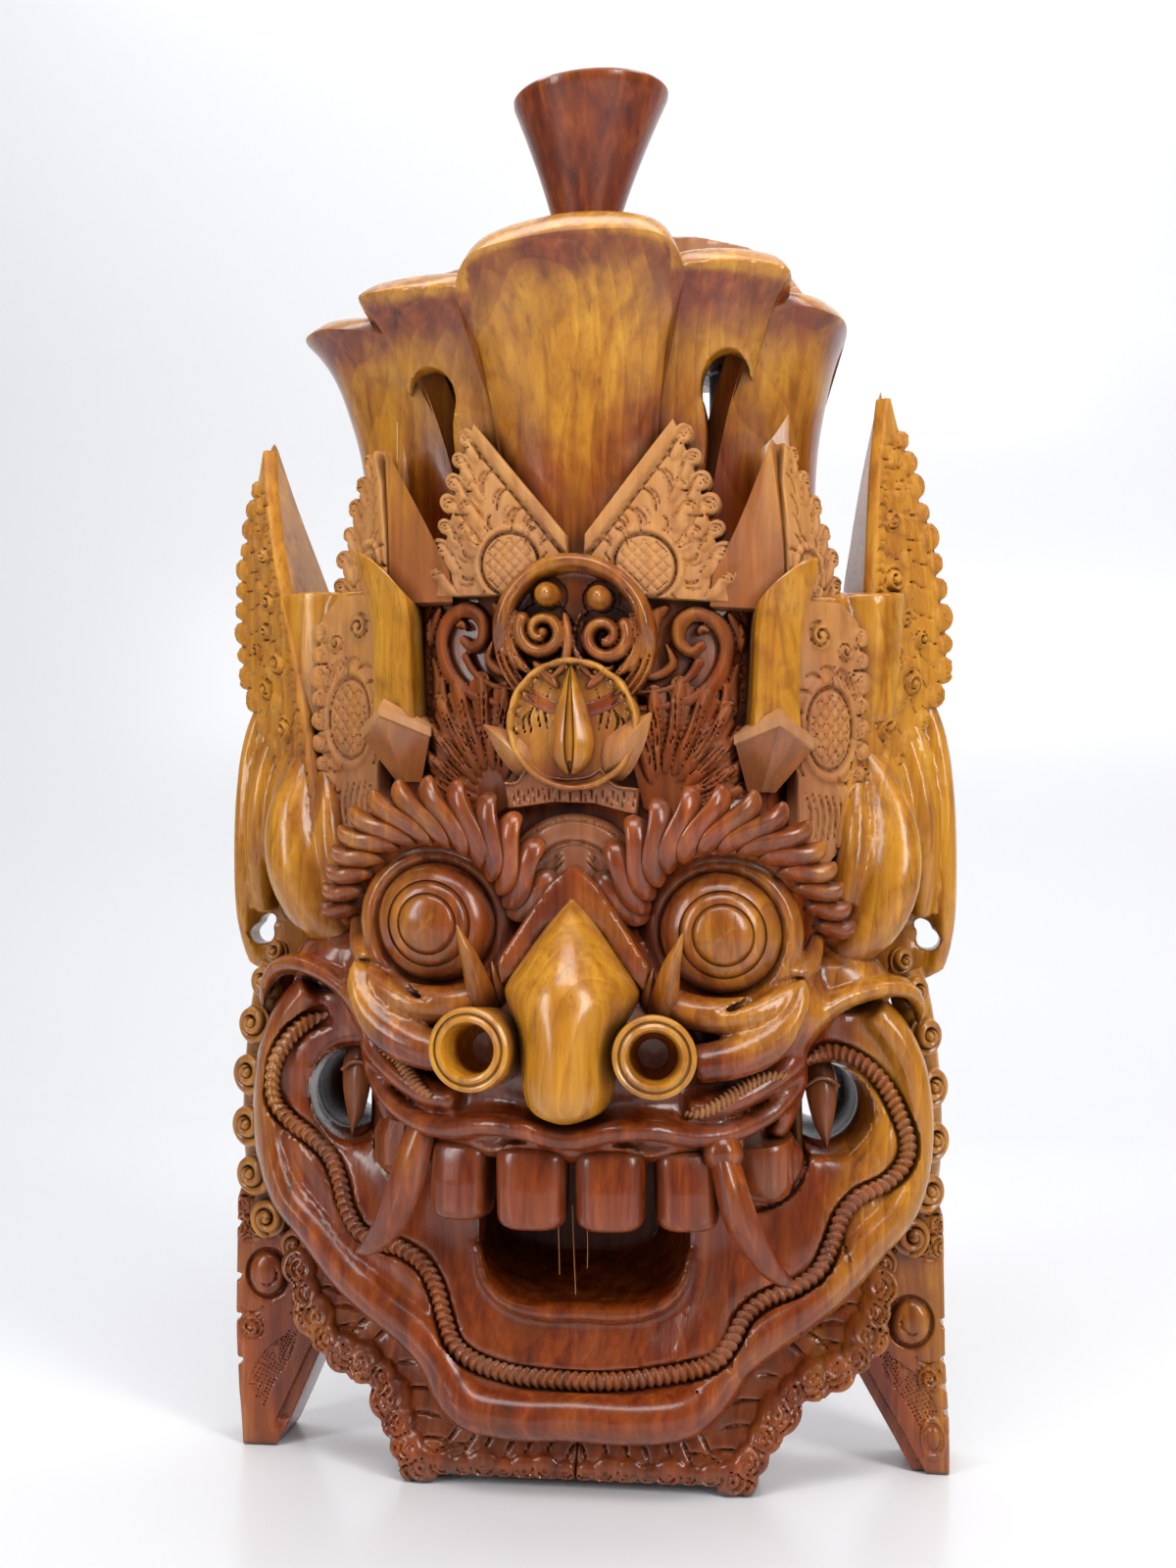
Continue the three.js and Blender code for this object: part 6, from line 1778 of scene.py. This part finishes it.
def petal_heart_and_lip_shade(V):
    """A little red heartwood all over, and painted shade in the hollow just under each petal's lip: the lip overhangs
    it, so it is darkened towards red heartwood.
    """
    x, z = np.abs(V[:, 0]), V[:, 2]
    top = np.where(x < 42, 523.0 - 0.004 * x * x, np.where(x < 97, 508.0, 503.0))
    t = top - z
    return -0.10 - 0.70 * smooth((34 - t) / 26) * smooth((t - 3.5) / 3.5)


def arch_dust(V):
    return 0.7 * smooth((V[:, 1] + 30) / 10) * smooth((V[:, 2] - 500) / 8)


# Painted shade: the inner side of each post, facing the middle, is painted dark.
def post_painted_shade(V):
    return 0.55 * smooth((73.5 - np.abs(V[:, 0])) / 2.5)


# Painted shade: the inside of the mouth, darker towards its left side, and the inside of the cheek hollows are painted
# dark.
def face_painted_shade(V):
    x, y, z = np.abs(V[:, 0]), V[:, 1], V[:, 2]
    mouth = smooth((y + 80) / 30) * smooth((46.5 - x) / 2) * smooth((z - 74) / 8) * smooth((158 - z) / 8)
    side = 0.62 + 0.38 * smooth((10 - V[:, 0]) / 30) * smooth((z - 84) / 30)
    hollow = smooth((y + 58) / 14) * smooth((1.25 - np.hypot((x - 102) / 19, (z - 162) / 21)) / 0.2)
    return np.clip(mouth * side + 0.8 * hollow, 0, 1) * (y < -8)


note("start")
F, P = face_field()
note("face field")
build("face", [(F.skin(0.02), S(face_base, 0, face_painted_shade))])
build("cord", [(rope(P), S(-0.15, 0.12))])
build("cheek_strips", [(m, S(-0.2, 0.55)) for m in knurl(F)])
F = crown_field()
build("crown", [(F.skin(0.02), S(petal_heart_and_lip_shade, arch_dust, slot_painted_shade))])
build("petals", [(centre_petal(), S(petal_heart_and_lip_shade))] + [(m, S(petal_heart_and_lip_shade)) for m in both(outer_petal())], 28)
build("finial", [(finial(), S(-0.1))])
build("nose", [(nose(), S(0.35))])
build("face_parts", [(m, S()) for m in all_both([eye(), nostril(), horn(), shard()])])
build("brows", [(m, S(-0.42)) for m in all_both(brow())], 30)
mr, ml = molars()
build("teeth", [(m, S(-0.8)) for m in teeth()] + [(m, S(-0.2)) for m in tusk_r() + tusk_l()] + [(m, S(0.0)) for m in mr])
build("molar_left", [(m, S(-0.3)) for m in ml], 18)
# the wall behind each fang, deep in the cheek hollow, is painted dark as shade
build("fangs", [(m, S(-0.2, 0.25)) for m in fang()[:2] + fang(True)[:2]] + [(m, S(-0.3, 0, 0.85)) for m in fang()[2:] + fang(True)[2:]])
build("hairs", [(m, S(0, 1.0)) for m in hairs()])
DUSTY = S(0.1, 0.70)
build("inner_leaves", [(m, DUSTY) for m in both(inner_leaf())])
ol, fc = outer_leaf()
build("outer_leaves", [(m, DUSTY) for m in both(ol)] + [(m, S(-0.35, 0.15)) for m in both(fc)])
build("scroll_panels", [(m, S(-0.1, 0.1)) for m in both(scroll_panel())])
build("medallion", [(medallion(), S(-0.3))])
build("shell", [(shell_disc(), S(0.15, 0.1))])
build("buds", [(bud(-0.5, 301, 346, 9.4, -106, 0, 10.5), S(0.2))] + [(m, S(0, 0.4)) for m in shards()], 22)
build("side_leafs", [(m, S(-0.05, 0.1)) for m in both(side_leafs())])
build("fan", [(fan_band(), S(-0.1, 0.3)), (arch_band(), S(-0.1, 0.3))])
pb, pl, pc = post()
build("posts", [(m, S(0.55, 0, post_painted_shade)) for m in both(pb)] + [(m, S(-0.25, 0.1)) for m in both(pl)] + [(m, S(0, 0.7)) for m in both(pc)], 25)

F = side_field()
sd = F.skin(0.02)
build("sides", [(m, S(0.1)) for m in both(sd)])
build("side_panels", [(m, S(0, 0.55)) for m in both(side_panel())])
for nm, ms, sh, tn in (("spikes", spike_body(), 30, S(0.2)), ("wings", wing_relief(), 35, S(0.05, 0.15))):
    build(nm, [(moved(ms, shift_r), tn), (moved(flip(ms), shift_l), tn)], sh, False)
build("mane", [(m, S(-0.1, 0.05)) for m in both(mane_panel())])
build("side_curls", [(m, S(0)) for m in all_both(side_curls() + [side_backing()])])
build("feet", [(foot_panel(), S(-0.12)), (flip(foot_panel(True)), S(-0.35))])

WOOD, MATT = wood(), wood("carved_wood_unpolished", 0.12, 0.0)
UNPOLISHED = {"inner_leaves", "outer_leaves", "side_panels", "wings", "cheek_strips", "hairs", "side_leafs", "scroll_panels"}
for ob in PIECES:
    ob.data.materials.append(MATT if ob.name in UNPOLISHED else WOOD)
    if ob.name in ("face", "crown", "face_parts", "fangs"):
        # deep hollows, painted as shade in the tone attribute, were never polished
        me = ob.data
        me.materials.append(MATT)
        c = np.empty(len(me.vertices) * 4, F32); me.color_attributes["tone"].data.foreach_get("color", c)
        li = np.empty(len(me.loops), np.int32); me.loops.foreach_get("vertex_index", li)
        ls = np.empty(len(me.polygons), np.int32); me.polygons.foreach_get("loop_start", ls)
        me.polygons.foreach_set("material_index", (c[2::4][li][ls] > 0.45).astype(np.int32))
    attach(ob, "root")
    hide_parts("mask")
note("pieces", len(PIECES), "tris", sum(sum(len(p.vertices) - 2 for p in o.data.polygons) for o in PIECES))
